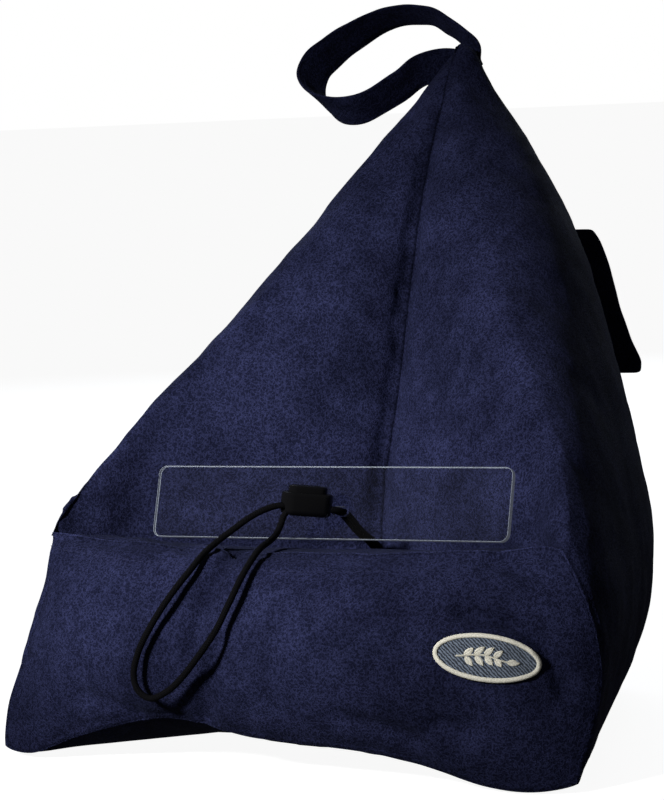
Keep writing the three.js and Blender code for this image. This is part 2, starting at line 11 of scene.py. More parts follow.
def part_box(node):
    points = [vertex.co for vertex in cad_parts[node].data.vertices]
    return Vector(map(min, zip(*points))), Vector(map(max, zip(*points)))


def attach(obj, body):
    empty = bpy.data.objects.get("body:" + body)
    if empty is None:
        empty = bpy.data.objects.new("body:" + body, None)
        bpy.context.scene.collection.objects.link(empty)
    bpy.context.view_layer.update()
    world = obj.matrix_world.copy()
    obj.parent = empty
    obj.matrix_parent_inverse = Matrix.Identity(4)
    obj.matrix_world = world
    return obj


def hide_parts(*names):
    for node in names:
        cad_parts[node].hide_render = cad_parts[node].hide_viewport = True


bl_info = {
    "name": "Book Rest Pillow",
    "version": (1, 0, 0),
    "blender": (4, 5, 0),
    "location": "View3D > Sidebar > Book Rest",
    "description": "Builds a dark suede book rest pillow with its clear strip, cord and lock",
    "category": "Add Mesh",
}

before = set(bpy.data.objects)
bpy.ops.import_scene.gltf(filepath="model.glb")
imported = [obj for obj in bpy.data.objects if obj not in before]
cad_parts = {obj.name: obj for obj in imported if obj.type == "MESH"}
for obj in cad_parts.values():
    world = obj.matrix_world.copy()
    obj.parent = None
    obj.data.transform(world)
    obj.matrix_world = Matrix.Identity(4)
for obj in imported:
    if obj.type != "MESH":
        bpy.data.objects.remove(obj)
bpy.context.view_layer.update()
MM = 0.001

# The rest's own frame, in mm: x = 0 is the middle and y = 0 the line through the lip's corners.
HOLDER_MIDDLE = Vector((0, 37.9, 116))
HOLDER_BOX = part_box("page-holder")
OWN = (HOLDER_BOX[0] + HOLDER_BOX[1]) / 2 - HOLDER_MIDDLE * MM


def at(x, y, z):
    """A point of the rest's own frame, given in mm, in the row frame."""
    return OWN + Vector((x, y, z)) * MM


# Seams of the cover's right half: x, y, z in mm in the rest's own frame. A fourth number is the left
# half's distance from the middle, where it differs.
LIP_CORNER = (133, 1, 106, 135)
FOOT = (148, -23, 3.5, 151)
CENTRE_SEAM = [
    (-2, 199.5, 329), (-1, 190, 318), (0, 177.7, 301), (0, 157, 268.7), (0, 134.9, 220.5),
    (0, 113.3, 163.3), (0, 96, 124.7), (0, 87, 84),
]
FACE_EDGE = [
    (9, 201, 328, 3), (14, 189, 310, 6), (43, 139, 254, 36.5), (76, 87, 199, 75),
    (104, 54, 163, 103), (128, 20, 128, 130), (137, 9, 117, 139), LIP_CORNER,
]
BACK_SEAM = [
    (8, 206.5, 328, 3), (12, 207, 313, 9), (29, 211, 281), (53, 214, 238), (67.5, 214, 190),
    (77, 215, 130), (92, 215, 78), (82, 210, 28), (70, 203, 2),
]
END_SEAM = [
    LIP_CORNER, (141, -3, 95, 131), (148, -5, 84, 131), (154, -7, 66, 137.5),
    (157, -11, 46, 144.5), (154, -18, 22, 151.5), FOOT,
]
CREASE = [(0, 87, 84), (45, 60, 88), (95, 37, 93.5), LIP_CORNER]
BASE_SIDE = [FOOT, (124, 45, 1.5), (100, 115, 1.5), (70, 203, 2)]

# Seams that run right across, from left to right.
LIP_TOP_EDGE = [(-135, 1, 106), (-80, -6, 103.5), (0, -8, 101), (80, -6, 103), (133, 1, 106)]
LIP_BOTTOM_EDGE = [
    (-151, -23, 3.5), (-132, -29, 2), (-100, -30, 14.5), (-66, -31, 22.5), (-38, -32, 23.5),
    (-6, -32, 17), (32, -32, 16), (66, -31, 12), (104, -30, 2.5), (132, -29, 0.5), (148, -23, 3.5),
]
BASE_BACK = [(-70, 203, 2), (0, 209, 2), (70, 203, 2)]

# Between the points that a seam is followed by, in mm.
SEAM_SPACING = 1.5

# Fine folds in the cover: depth and width in mm, and the line that each runs along.
FOLDS = [
    (4.8, 3.6, [(-26, 0, 102), (-27, -22, 95), (-29, -31, 85), (-32, -40, 68), (-33, -42, 60)]),
    (5.9, 3.3, [(-20, -42, 63), (-24, -43, 48), (-26, -43, 40), (-33, -36, 24)]),
    (2.2, 4, [(-52, -3, 103), (-50, -24, 97), (-53, -36, 82)]),
    (5.9, 3.6, [
        (97, -27, 80), (108, -25, 78), (121, -22, 74), (132, -20, 67), (138, -20, 56), (142, -21, 44)]),
    (3.4, 4, [(124, -24, 60), (131, -22, 52), (134, -24, 38)]),
    (3.1, 4, [(88, -39, 31), (103, -36, 28)]),
    (3.9, 4.5, [(-130, 11, 114), (-123, 14, 110), (-117, 17, 111)]),
    (3.4, 4.5, [(-127, 17, 120), (-112, 23, 116), (-99, 29, 115)]),
    (3.1, 4, [(-116, 14, 105), (-106, 21, 104), (-96, 25, 103)]),
    (3.6, 5, [(-98, 23, 107), (-84, 29, 105), (-70, 34, 103)]),
    (3.1, 4.5, [(106, -7, 100), (117, -8, 97), (129, -6, 95)]),
    (2.2, 6, [(60, 66, 118), (72, 56, 124), (84, 49, 134)]),
    (2.2, 7, [(118, 24, 130), (126, 26, 150), (118, 40, 170)]),
    (2.8, 5, [(-96, -36, 34), (-84, -40, 30), (-70, -37, 26)]),
    (2.5, 5, [(40, -40, 32), (60, -40, 28), (78, -38, 22)]),
    (3.4, 2.6, [(-6, 174, 287), (-12, 168, 284), (-22, 160, 285)]),
    (2.8, 2.6, [(6, 174, 287), (14, 168, 287), (24, 163, 292)]),
    (2.2, 7, [(40, 120, 212), (62, 96, 192), (90, 70, 168)]),
    (2.0, 8, [(-40, 118, 208), (-66, 90, 186), (-92, 66, 150)]),
]

# The elastic cord, from one end sewn in at the foot of the centre seam to the other.
CORD_ROUTE = [
    (-1.7, 84.2, 87.6), (-0.6, 75, 93), (1.2, 64, 98), (3.2, 54, 103), (4.6, 46, 107.6),
    (5, 40.5, 110.8), (4.95, 36.6, 112.2), (4.6, 34.5, 113.1), (3.5, 32.7, 113.9),
    (-5.7, 24.8, 115.8), (-14.8, 16.8, 117.7), (-19.6, 11.8, 116.6), (-25, 6, 113.5),
    (-29.8, 0, 109.3), (-34.1, -7, 104.9), (-36.9, -17.3, 100.1), (-37.8, -27.5, 94.9),
    (-43.7, -38.5, 83.6), (-51.9, -44.3, 69.6), (-57.9, -46.3, 57.7), (-60.3, -47, 47.4),
    (-58.1, -47.5, 41.1), (-51.9, -47.5, 37.6), (-43.5, -47, 40.8), (-35.8, -47, 46.9),
    (-24.5, -47, 59.3), (-17, -44.5, 70), (-12.1, -39.2, 82.2), (-9.9, -29.5, 93.3),
    (-9.2, -15.8, 101.8), (-9.8, -7, 103.6), (-11.3, 2, 104.6), (-13, 9.5, 106),
    (-13, 13.6, 109.4), (-12, 15, 113.1), (-10.2, 16.5, 115.5), (-7.7, 18.7, 116.3),
    (-3.5, 22.3, 115.8), (5.6, 30.2, 113.9), (7.5, 33.1, 113.3), (8.2, 36.6, 112.2),
    (8.2, 40.5, 110.8), (7.6, 46, 107.6), (6.2, 54, 102.9), (4.4, 64, 97.7), (2.8, 75, 92.8),
    (1.7, 84.2, 87.6),
]

# The carry strap: x, y, z of its middle, how its upper edge leans to the front and right, its width.
STRAP_ROUTE = [
    (4, 212, 315, 0, 0, 14), (-2, 211.8, 317, 0, 0, 15), (-11, 210, 318, 0.1, 0, 17),
    (-22.8, 203.5, 315.4, 0.35, 0, 18), (-32.2, 198, 308, 0.6, 0, 19),
    (-52.4, 189, 297.3, 0.75, -0.1, 19), (-65.7, 189, 298, 0.8, -0.5, 19),
    (-78, 194, 304, 0.8, -1.1, 19), (-86.4, 203, 312.4, 0.8, -1.6, 19),
    (-87.2, 212, 320.6, 0.9, -1.8, 19), (-81.6, 220, 328, 1, -1.6, 19),
    (-71.7, 227, 335.6, 1.1, -1.2, 19), (-58.5, 231, 342, 1.2, -0.9, 19),
    (-44.9, 231.5, 344.8, 1.5, -0.5, 18), (-26.7, 227, 343.2, 1.7, -0.1, 16),
    (-13.8, 221, 337.6, 1.6, 0, 14), (-3, 216, 331, 1, 0, 12), (3, 215, 325, 0.3, 0, 12),
    (4, 214.9, 316, 0, 0, 12),
]

# The camera: its turn to the right, its elevation and its roll in degrees, the point that it looks at
# in mm in the rest's own frame, its distance from that point and its focal length in mm.
CAMERA_ANGLES = (28, 6, 2.9)
CAMERA_TARGET = (0, 45.87, 163.79)
CAMERA_DISTANCE = 1450
FOCAL_LENGTH = 138.83


class CoverSizes(bpy.types.PropertyGroup):
    """Sizes and colours of the suede cover."""

    suede: bpy.props.FloatVectorProperty(
        name="Suede", description="Colour of the nap", subtype="COLOR", size=3, min=0, max=1,
        default=(0.017, 0.0195, 0.052))
    seam_depth: bpy.props.FloatProperty(
        name="Seam depth", description="How deep the seams pull in", unit="LENGTH", default=0.0024)
    pucker: bpy.props.FloatProperty(
        name="Pucker", description="Depth of the small gathers beside a seam", unit="LENGTH",
        default=0.0010)
    stitch: bpy.props.FloatProperty(
        name="Stitch length", description="Length of one stitch of the topstitching",
        unit="LENGTH", default=0.0031)


class StripSizes(bpy.types.PropertyGroup):
    """Sizes of the clear strip that holds the pages."""

    length: bpy.props.FloatProperty(
        name="Length", description="Length of the strip", unit="LENGTH", default=0.1888)
    height: bpy.props.FloatProperty(
        name="Height", description="Height of the strip", unit="LENGTH", default=0.0346)
    thickness: bpy.props.FloatProperty(
        name="Thickness", description="Thickness of the strip", unit="LENGTH", default=0.003)
    corner: bpy.props.FloatProperty(
        name="Corner", description="Radius of its corners", unit="LENGTH", default=0.004)
    lean: bpy.props.FloatProperty(
        name="Lean", description="How far it leans back", subtype="ANGLE",
        default=math.radians(19))


class FittingSizes(bpy.types.PropertyGroup):
    """Sizes and colours of the cord, its lock and the badge."""

    cord: bpy.props.FloatProperty(
        name="Cord", description="Diameter of the elastic cord", unit="LENGTH", default=0.003)
    black: bpy.props.FloatVectorProperty(
        name="Black", description="Colour of the lock", subtype="COLOR", size=3, min=0, max=1,
        default=(0.003, 0.003, 0.0035))
    thread: bpy.props.FloatVectorProperty(
        name="Thread", description="Colour of the badge's border", subtype="COLOR", size=3,
        min=0, max=1, default=(0.8, 0.77, 0.66))
    field: bpy.props.FloatVectorProperty(
        name="Field", description="Colour of the badge's twill field", subtype="COLOR", size=3,
        min=0, max=1, default=(0.1, 0.12, 0.155))


# Helpers
def deselect():
    if bpy.context.object and bpy.context.object.mode != "OBJECT":
        bpy.ops.object.mode_set(mode="OBJECT")
    bpy.ops.object.select_all(action="DESELECT")


def select_only(piece):
    deselect()
    piece.select_set(True)
    bpy.context.view_layer.objects.active = piece


def newest(name):
    piece = bpy.context.object
    piece.name = name
    piece.data.name = name
    return piece


def settle_place(piece):
    """Moves a piece's place into its mesh."""
    select_only(piece)
    bpy.ops.object.transform_apply(location=True, rotation=True, scale=True)


def piece_from(name, verts, faces):
    mesh = bpy.data.meshes.new(name)
    mesh.from_pydata([tuple(v) for v in verts], [], faces)
    mesh.validate()
    piece = bpy.data.objects.new(name, mesh)
    bpy.context.scene.collection.objects.link(piece)
    return piece


def apply_modifier(piece, kind, name, **settings):
    select_only(piece)
    modifier = piece.modifiers.new(name, kind)
    for key, value in settings.items():
        setattr(modifier, key, value)
    bpy.ops.object.modifier_apply(modifier=name)


def smooth_by_angle(piece, degrees):
    select_only(piece)
    bpy.ops.object.shade_smooth_by_angle(angle=math.radians(degrees))


def smooth_all(piece):
    select_only(piece)
    bpy.ops.object.shade_smooth()


def turn_outwards(piece):
    select_only(piece)
    bpy.ops.object.mode_set(mode="EDIT")
    bpy.ops.mesh.select_all(action="SELECT")
    bpy.ops.mesh.normals_make_consistent(inside=False)
    bpy.ops.object.mode_set(mode="OBJECT")


def quads_of(source, name, angle):
    """A new piece from a copy of a CAD node's mesh, its triangles joined to quads."""
    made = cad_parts[source].data.copy()
    made.name = name
    piece = bpy.data.objects.new(name, made)
    bpy.context.scene.collection.objects.link(piece)
    select_only(piece)
    bpy.ops.object.mode_set(mode="EDIT")
    bpy.ops.mesh.select_all(action="SELECT")
    bpy.ops.mesh.remove_doubles(threshold=0.02 * MM)
    bpy.ops.mesh.tris_convert_to_quads(
        face_threshold=math.radians(angle), shape_threshold=math.radians(60))
    bpy.ops.object.mode_set(mode="OBJECT")
    return piece


def select_in_edit(piece, parts, wanted):
    """Opens a piece in edit mode with only the wanted edges or faces selected."""
    select_only(piece)
    bpy.ops.object.mode_set(mode="EDIT")
    bpy.ops.mesh.select_mode(type="EDGE")
    bpy.ops.mesh.select_all(action="DESELECT")
    mesh = bmesh.from_edit_mesh(piece.data)
    for part in getattr(mesh, parts):
        part.select = wanted(part)
    bmesh.update_edit_mesh(piece.data)


def bevel_edges(piece, wanted, offset, segments):
    select_in_edit(piece, "edges", wanted)
    bpy.ops.mesh.bevel(offset=offset, segments=segments, affect="EDGES")
    bpy.ops.object.mode_set(mode="OBJECT")


def cut_from(piece, cutter):
    apply_modifier(piece, "BOOLEAN", "cut", operation="DIFFERENCE", object=cutter, solver="EXACT")
    bpy.data.objects.remove(cutter)


def finish_piece(piece, material, slot, body, *nodes):
    piece.data.materials.clear()
    piece.data.materials.append(material)
    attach(piece, body)
    if nodes:
        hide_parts(*nodes)
    deselect()


def bell(distance, width):
    """1 at no distance, falling softly to nothing at about twice the width."""
    return math.exp(-((distance / width) ** 2))


def round_steps(count):
    """Cosine and sine of evenly spaced angles, once round."""
    angles = [2 * math.pi * k / count for k in range(count)]
    return [(math.cos(angle), math.sin(angle)) for angle in angles]


def directions(line):
    """The direction of a line at each of its points."""
    ends = [line[0], *line, line[-1]]
    return [(after - before).normalized() for before, after in zip(ends, ends[2:])]


def tube_faces(rows, sides):
    """The faces of a closed tube that has rows of points, so many to a row, with its two ends last."""
    faces = []
    for row in range(1, rows):
        a, b = (row - 1) * sides, row * sides
        for k in range(sides):
            n = (k + 1) % sides
            faces.append((a + k, a + n, b + n, b + k))
    last = (rows - 1) * sides
    return [*faces, tuple(reversed(range(sides))), tuple(range(last, last + sides))]


def route(points, spacing):
    """Points about spacing mm apart on the centripetal curve through the given ones."""
    ends = [2 * points[0] - points[1], *points, 2 * points[-1] - points[-2]]
    out = []
    for a, b, c, d in zip(ends, ends[1:], ends[2:], ends[3:]):
        ab, bc, cd = ((q - p).length ** 0.5 for p, q in ((a, b), (b, c), (c, d)))
        ab, cd = max(ab, 1e-4), max(cd, 1e-4)
        start = ((b - a) / ab - (c - a) / (ab + bc) + (c - b) / bc) * bc
        end = ((c - b) / bc - (d - b) / (bc + cd) + (d - c) / cd) * bc
        steps = max(1, round((c - b).length / (spacing * MM)))
        for k in range(steps):
            t = k / steps
            out.append(
                b + start * t + (3 * (c - b) - 2 * start - end) * t ** 2
                + (2 * (b - c) + start + end) * t ** 3)
    return out + [points[-1].copy()]


def seam_line(rows, side=1):
    """A seam's points in the row frame. side -1 gives the left half."""
    points = []
    for x, y, z, *left in rows:
        if side < 0:
            x = -(left[0] if left else x)
        points.append(at(x, y, z))
    return route(points, SEAM_SPACING)


def tree_of(lines):
    points = [p for line in lines for p in line]
    tree = KDTree(len(points))
    for k, p in enumerate(points):
        tree.insert(p, k)
    tree.balance()
    return tree


# Materials
def material(name, **inputs):
    made = bpy.data.materials.new(name)
    made.use_nodes = True
    shader = made.node_tree.nodes["Principled BSDF"]
    for key, value in inputs.items():
        socket = shader.inputs[key.replace("_", " ")]
        socket.default_value = (*value, 1) if hasattr(value, "__len__") and len(value) == 3 else value
    return made, made.node_tree, shader


def node(tree, kind, **settings):
    made = tree.nodes.new(kind)
    for key, value in settings.items():
        if key in made.inputs:
            made.inputs[key].default_value = value
        else:
            setattr(made, key, value)
    return made


def join(tree, source, target):
    tree.links.new(source, target)


def coordinates(tree, scale=(1, 1, 1)):
    place = node(tree, "ShaderNodeTexCoord")
    mapping = node(tree, "ShaderNodeMapping")
    mapping.inputs["Scale"].default_value = scale
    join(tree, place.outputs["Object"], mapping.inputs["Vector"])
    return mapping.outputs["Vector"]


def noise_at(tree, vector, scale, detail=2.0, rough=0.5):
    made = node(tree, "ShaderNodeTexNoise", Scale=scale, Detail=detail, Roughness=rough)
    join(tree, vector, made.inputs["Vector"])
    return made.outputs["Fac"]


def add_bump(tree, shader, height, strength, distance):
    bump = node(tree, "ShaderNodeBump", Strength=strength, Distance=distance)
    join(tree, height, bump.inputs["Height"])
    join(tree, bump.outputs["Normal"], shader.inputs["Normal"])


def ramp(tree, factor, stops):
    made = node(tree, "ShaderNodeValToRGB")
    elements = made.color_ramp.elements
    while len(elements) < len(stops):
        elements.new(0.5)
    for element, (place, colour) in zip(elements, stops):
        element.position = place
        element.color = (*colour, 1) if hasattr(colour, "__len__") else (colour, colour, colour, 1)
    join(tree, factor, made.inputs["Fac"])
    return made.outputs["Color"]


def maths(tree, operation, a, b=None):
    made = node(tree, "ShaderNodeMath", operation=operation)
    for k, value in enumerate((a, b)):
        if value is None:
            continue
        if isinstance(value, (int, float)):
            made.inputs[k].default_value = value
        else:
            join(tree, value, made.inputs[k])
    return made.outputs[0]


def multiply_colours(tree, a, b):
    made = node(tree, "ShaderNodeMix", data_type="RGBA", blend_type="MULTIPLY")
    made.inputs["Factor"].default_value = 1
    join(tree, a, made.inputs["A"])
    join(tree, b, made.inputs["B"])
    return made.outputs["Result"]


def shade(colour, share):
    return tuple(min(1, c * share) for c in colour)


def veins(tree, place, scale):
    """Fine wandering lines: 0 along each, rising away from it."""
    level = noise_at(tree, place, scale, 1.5)
    return maths(tree, "ABSOLUTE", maths(tree, "SUBTRACT", level, 0.5))


# The cloth away from a raised seam is this light beside the painted highlight on the seam's own line.
PLAIN_CLOTH = 0.62

# Painted shade in the valley seams, and a painted highlight on the raised seams with a thin painted shade
# beside it: how the cloth's lightness changes with the distance from a seam, where 1 stands for 4 mm.
SEAM_SHADE_AND_HIGHLIGHT = {
    "valley_mm": [(0.0, 0.18), (0.2, 0.75), (0.7, 1.0)],
    "ridge_mm": [(0.0, 1.0), (0.09, 0.9), (0.2, PLAIN_CLOTH * 0.7), (0.5, PLAIN_CLOTH)],
}

# How light each suede is beside the cover's: the strap and flap are the same cloth, painted a little
# darker as painted shade.
SUEDE_PAINTED_SHADE = {"navy-suede-seamed": 1.0, "navy-suede": 0.95}


def suede_material(name, colour, seams):
    """Short-napped faux suede: a fine crinkled grain, brushed patches, painted shade in the valley seams
    and a painted highlight on the raised seams.
    """
    made, tree, shader = material(
        name, Roughness=0.9, Sheen_Weight=0.02, Sheen_Roughness=0.4,
        Sheen_Tint=(0.5, 0.58, 1.0), Specular_IOR_Level=0.08)
    place = coordinates(tree)
    crinkle = ramp(tree, veins(tree, place, 560), [(0.0, 1.0), (0.035, 0.62), (0.11, 0.0)])
    nap = ramp(tree, veins(tree, place, 1150), [(0.0, 1.0), (0.05, 0.5), (0.14, 0.0)])
    height = maths(tree, "ADD", maths(tree, "MULTIPLY", crinkle, 0.55), maths(tree, "MULTIPLY", nap, 0.45))
    # The seamed suede is made lighter to make up for the painted seam shading, so the plain cloth keeps
    # its colour.
    whole = 1 / PLAIN_CLOTH if seams else 1
    base = ramp(tree, height, [(0.1, shade(colour, 0.5 * whole)), (0.9, shade(colour, 2 * whole))])
    mottle = ramp(tree, noise_at(tree, place, 24, 3, 0.55), [(0.36, 0.6), (0.64, 1.0)])
    streaks = ramp(tree, noise_at(tree, place, 95, 4, 0.6), [(0.3, 0.74), (0.7, 1.0)])
    toned = multiply_colours(tree, multiply_colours(tree, base, mottle), streaks)
    # Painted shade along the valley seams and painted highlight along the raised seams.
    for distance, stops in SEAM_SHADE_AND_HIGHLIGHT.items() if seams else ():
        line = node(tree, "ShaderNodeAttribute", attribute_name=distance)
        edge = ramp(tree, maths(tree, "MULTIPLY", line.outputs["Fac"], 0.25), stops)
        toned = multiply_colours(tree, toned, edge)
    join(tree, toned, shader.inputs["Base Color"])
    add_bump(tree, shader, height, 0.55, 0.5 * MM)
    return made


def suede(name):
    found = bpy.data.materials.get(name)
    if found:
        return found
    # The share paints the strap's and flap's suede a little darker, as painted shade.
    colour = shade(bpy.context.scene.rest_cover.suede, SUEDE_PAINTED_SHADE[name])
    return suede_material(name, colour, seams=name == "navy-suede-seamed")


def thread_material(name, colour):
    """Twisted sewing thread, with a painted highlight on the raised side of each twist."""
    made, tree, shader = material(name, Roughness=0.7, Sheen_Weight=0.04, Specular_IOR_Level=0.15)
    twist = noise_at(tree, coordinates(tree), 1800)
    # Painted highlight: the colour is lighter where the twist's bump is raised.
    tones = ramp(tree, twist, [(0.3, shade(colour, 0.75)), (0.7, shade(colour, 1.12))])
    join(tree, tones, shader.inputs["Base Color"])
    add_bump(tree, shader, twist, 0.4, 0.2 * MM)
    return made


class BOOKREST_OT_cover(bpy.types.Operator):
    """Builds the filled suede cover with its seams, folds and gathers."""

    bl_idname = "bookrest.cover"
    bl_label = "Suede cover"

    # Nearer to a seam than this, in mm, a point lies on it.
    on_seam = 1.4
    # Below these heights, in mm, the cover is held while it is pressed out, and is shaped less and less.
    held_below, shaped_above = 4, 6
    # The deepest and the highest wrinkle that the filling may leave, in mm.
    wrinkle_in, wrinkle_out = 0.9, 0.1
    # How far from a seam its gathers reach, and from the lip's upper edge its waves, in mm.
    gather_reach, wave_reach = 26, 24
    # A fold is left out for points further than this from its middle, in mm.
    fold_reach = 50

    def execute(self, context):
        sizes = context.scene.rest_cover
        piece = quads_of("bag", "cover", 50)
        sides = (1, -1)
        valleys = [seam_line(CENTRE_SEAM)] + [seam_line(CREASE, s) for s in sides]
        ridges = [seam_line(rows, s) for rows in (END_SEAM, BACK_SEAM, BASE_SIDE) for s in sides]
        ridges += [seam_line(rows) for rows in (LIP_TOP_EDGE, LIP_BOTTOM_EDGE, BASE_BACK)]
        self.mark(piece, "valley_mm", valleys)
        self.mark(piece, "seam_mm", valleys + ridges)
        self.mark(piece, "ridge_mm", ridges)
        self.mark(piece, "lip_mm", [seam_line(LIP_TOP_EDGE)])
        self.mark(piece, "edge_mm", [seam_line(FACE_EDGE, s) for s in sides])
        self.crease(piece)
        apply_modifier(piece, "SUBSURF", "rounder", levels=1, render_levels=1)
        self.press_out(piece)
        apply_modifier(piece, "SUBSURF", "finer", levels=1, render_levels=1)
        self.shape(piece, sizes, tree_of(valleys + ridges))
        smooth_all(piece)
        finish_piece(piece, suede("navy-suede-seamed"), "suede", "rest", "bag")
        return {"FINISHED"}

    def mark(self, piece, name, lines):
        """Stores how far each point is from the nearest of the lines, 0 where it lies on one."""
        tree = tree_of(lines)
        values = []
        for vertex in piece.data.vertices:
            away = tree.find(vertex.co)[2] / MM
            values.append(0.0 if away < self.on_seam else away)
        made = piece.data.attributes.new(name, "FLOAT", "POINT")
        made.data.foreach_set("value", values)

    def crease(self, piece):
        """Keeps the seams crisp where the mesh is rounded."""
        marks = [d.value for d in piece.data.attributes["seam_mm"].data]
        sharp = piece.data.attributes.new("crease_edge", "FLOAT", "EDGE")
        for edge, value in zip(piece.data.edges, sharp.data):
            a, b = edge.vertices
            value.value = 0.75 if marks[a] == marks[b] == 0 else 0.0

    def press_out(self, piece):
        """Lets the filling press on the cloth between its seams, and keeps the wrinkles that it
        makes while the cover stays inside its solid's space."""
        rest = [v.co.copy() for v in piece.data.vertices]
        marks = [d.value for d in piece.data.attributes["seam_mm"].data]
        normals = [v.normal.copy() for v in piece.data.vertices]
        held = piece.vertex_groups.new(name="held")
        for k, (p, mark) in enumerate(zip(rest, marks)):
            fixed = mark == 0 or p.z < self.held_below * MM
            held.add([k], 1.0 if fixed else 0.0, "REPLACE")
        self.run_cloth(piece)
        pushed = [(v.co - p).dot(n) for v, p, n in zip(piece.data.vertices, rest, normals)]
        broad = self.evened(piece, pushed)
        for vertex, p, n, total, wide in zip(piece.data.vertices, rest, normals, pushed, broad):
            wrinkle = max(-self.wrinkle_in * MM, min(self.wrinkle_out * MM, total - wide))
            vertex.co = p + n * wrinkle

    def run_cloth(self, piece, frames=18):
        select_only(piece)
        cloth = piece.modifiers.new("filling", "CLOTH")
        cloth.settings.vertex_group_mass = "held"
        cloth.settings.quality = 4
        cloth.settings.mass = 0.3
        cloth.settings.use_pressure = True
        cloth.settings.uniform_pressure_force = 4
        cloth.settings.tension_stiffness = 30
        cloth.settings.compression_stiffness = 30
        cloth.settings.shear_stiffness = 10
        cloth.settings.bending_stiffness = 0.3
        cloth.settings.shrink_min = -0.02
        cloth.settings.effector_weights.gravity = 0
        cloth.collision_settings.use_self_collision = False
        for number in range(1, frames + 1):
            bpy.context.scene.frame_set(number)
        bpy.ops.object.modifier_apply(modifier="filling")
        bpy.context.scene.frame_set(1)

    def evened(self, piece, values, passes=14):
        """Each point's value evened out with those of the points around it."""
        near = [[] for _ in values]
        for edge in piece.data.edges:
            a, b = edge.vertices
            near[a].append(b)
            near[b].append(a)
        for _ in range(passes):
            values = [
                0.5 * here + 0.5 * sum(values[k] for k in around) / len(around)
                for here, around in zip(values, near)]
        return values

    def shape(self, piece, sizes, tree):
        """Pulls the seams in, gathers the cloth beside them and presses the folds."""
        mesh = piece.data
        valley, seam, lip, rim = (
            [d.value for d in mesh.attributes[name].data]
            for name in ("valley_mm", "seam_mm", "lip_mm", "edge_mm"))
        folds = [(depth, width, [at(*p) for p in line]) for depth, width, line in FOLDS]
        places = [v.co.copy() for v in mesh.vertices]
        normals = [v.normal.copy() for v in mesh.vertices]
        moved = []
        for p, n, groove, edge, crest, side in zip(places, normals, valley, seam, lip, rim):
            sunk = self.seam_dip(groove, edge) * sizes.seam_depth
            if edge < self.gather_reach:
                sunk += self.gather(edge, tree.find(p)[1]) * sizes.pucker
            if crest < self.wave_reach:
                sunk += self.lip_wave(p, crest, side) * MM
            sunk += (self.slack(p) + self.fold(p, side, folds)) * MM
            sunk = max(-self.wrinkle_out * MM, sunk)
            low = max(0.0, 1 - p.z / (self.shaped_above * MM))
            q = p - n * sunk * (1 - low)
            moved += (q.x, q.y, max(q.z, 0.0))
        mesh.vertices.foreach_set("co", moved)
        mesh.update()

    def seam_dip(self, groove, edge):
        """The dip along a valley seam, and away from it a row of stitches beside every seam."""
        dip = 0.6 * bell(groove, 1.6) + 0.4 * bell(groove, 5)
        if groove > 0.4:
            dip += 0.3 * bell(edge - 3.2, 1.6)
        return dip

    def gather(self, edge, index):
        """Small gathers that cross a seam, even in depth to both sides of one of its points."""
        pull = 0.4 + noise.noise(Vector((index * 0.36, edge * 0.07, 3.1)))
        return pull * math.exp(-edge / 7) * min(1, edge / 1.5)

    def lip_wave(self, p, crest, side):
        """Shallow waves along the lip's upper edge, in mm, fading towards its corners."""
        wave = noise.noise(Vector((p.x * 42, 0.2, 5.3)))
        return 1.3 * max(0, 0.25 + wave) * bell(crest, 9) * min(1, side / 14)

    def slack(self, p):
        """Broad and small unevenness of the filled cloth, in mm."""
        return 0.85 * (0.35 + noise.noise(p * 30)) + 0.3 * (0.35 + noise.noise(p * 95))

    def fold(self, p, side, folds):
        """How deep the fine folds press a point in, in mm, fading towards the face's edge."""
        pressed = 0
        for depth, width, line in folds:
            if (p - line[len(line) // 2]).length > self.fold_reach * MM:
                continue
            away = min(distance_to(p, a, b) for a, b in zip(line, line[1:])) / MM
            if away < 3 * width:
                pressed += depth * bell(away, width) * min(1, side / 16) ** 2
        return pressed


def distance_to(p, a, b):
    """A point's distance from the straight line between two others."""
    along = b - a
    t = max(0.0, min(1.0, (p - a).dot(along) / along.length_squared))
    return (p - a - along * t).length


class BOOKREST_OT_topstitching(bpy.types.Operator):
    """Sews the row of topstitching below the lip's upper edge."""

    bl_idname = "bookrest.topstitching"
    bl_label = "Topstitching"

    # The row's distance below the edge, a thread's thickness and how proud it stands, in mm.
    below, thick, proud = 7.5, 0.45, 0.05
    # The gap between two stitches, as a share of a stitch.
    gap = 0.25

    def execute(self, context):
        sizes = context.scene.rest_cover
        line = self.row_on_cover()
        deselect()
        bpy.ops.mesh.primitive_uv_sphere_add(segments=8, ring_count=6, radius=0.5)
        stitch = newest("stitch")
        size = Vector((sizes.stitch, self.thick * MM, self.thick * MM))
        verts, faces = [], []
        travelled = 0.0
        for (a, n), (b, _) in zip(line, line[1:]):
            travelled += (b - a).length
            if travelled < sizes.stitch * (1 + self.gap):
                continue
            travelled = 0.0
            along = (b - a).normalized()
            across = n.cross(along).normalized()
            turn = Matrix((along, across, n)).transposed()
            start = len(verts)
            for vertex in stitch.data.vertices:
                local = Vector(c * s for c, s in zip(vertex.co.zxy, size))
                verts.append(a + turn @ local + n * self.proud * MM)
            faces += [[start + v for v in f.vertices] for f in stitch.data.polygons]
        bpy.data.objects.remove(stitch)
        piece = piece_from("lip-topstitch", verts, faces)
        smooth_all(piece)
        finish_piece(piece, thread_material("navy-thread", shade(sizes.suede, 1.15)), "suede", "rest")
        return {"FINISHED"}

    def row_on_cover(self):
        """The places and normals of the cover along the row, met from the front."""
        surface = BVHTree.FromObject(
            bpy.data.objects["cover"], bpy.context.evaluated_depsgraph_get())
        line = []
        for p in seam_line(LIP_TOP_EDGE):
            place, normal, *_ = surface.ray_cast(p + Vector((0, -50, -self.below)) * MM, Vector((0, 1, 0)))
            if place:
                line.append((place, normal))
        return line


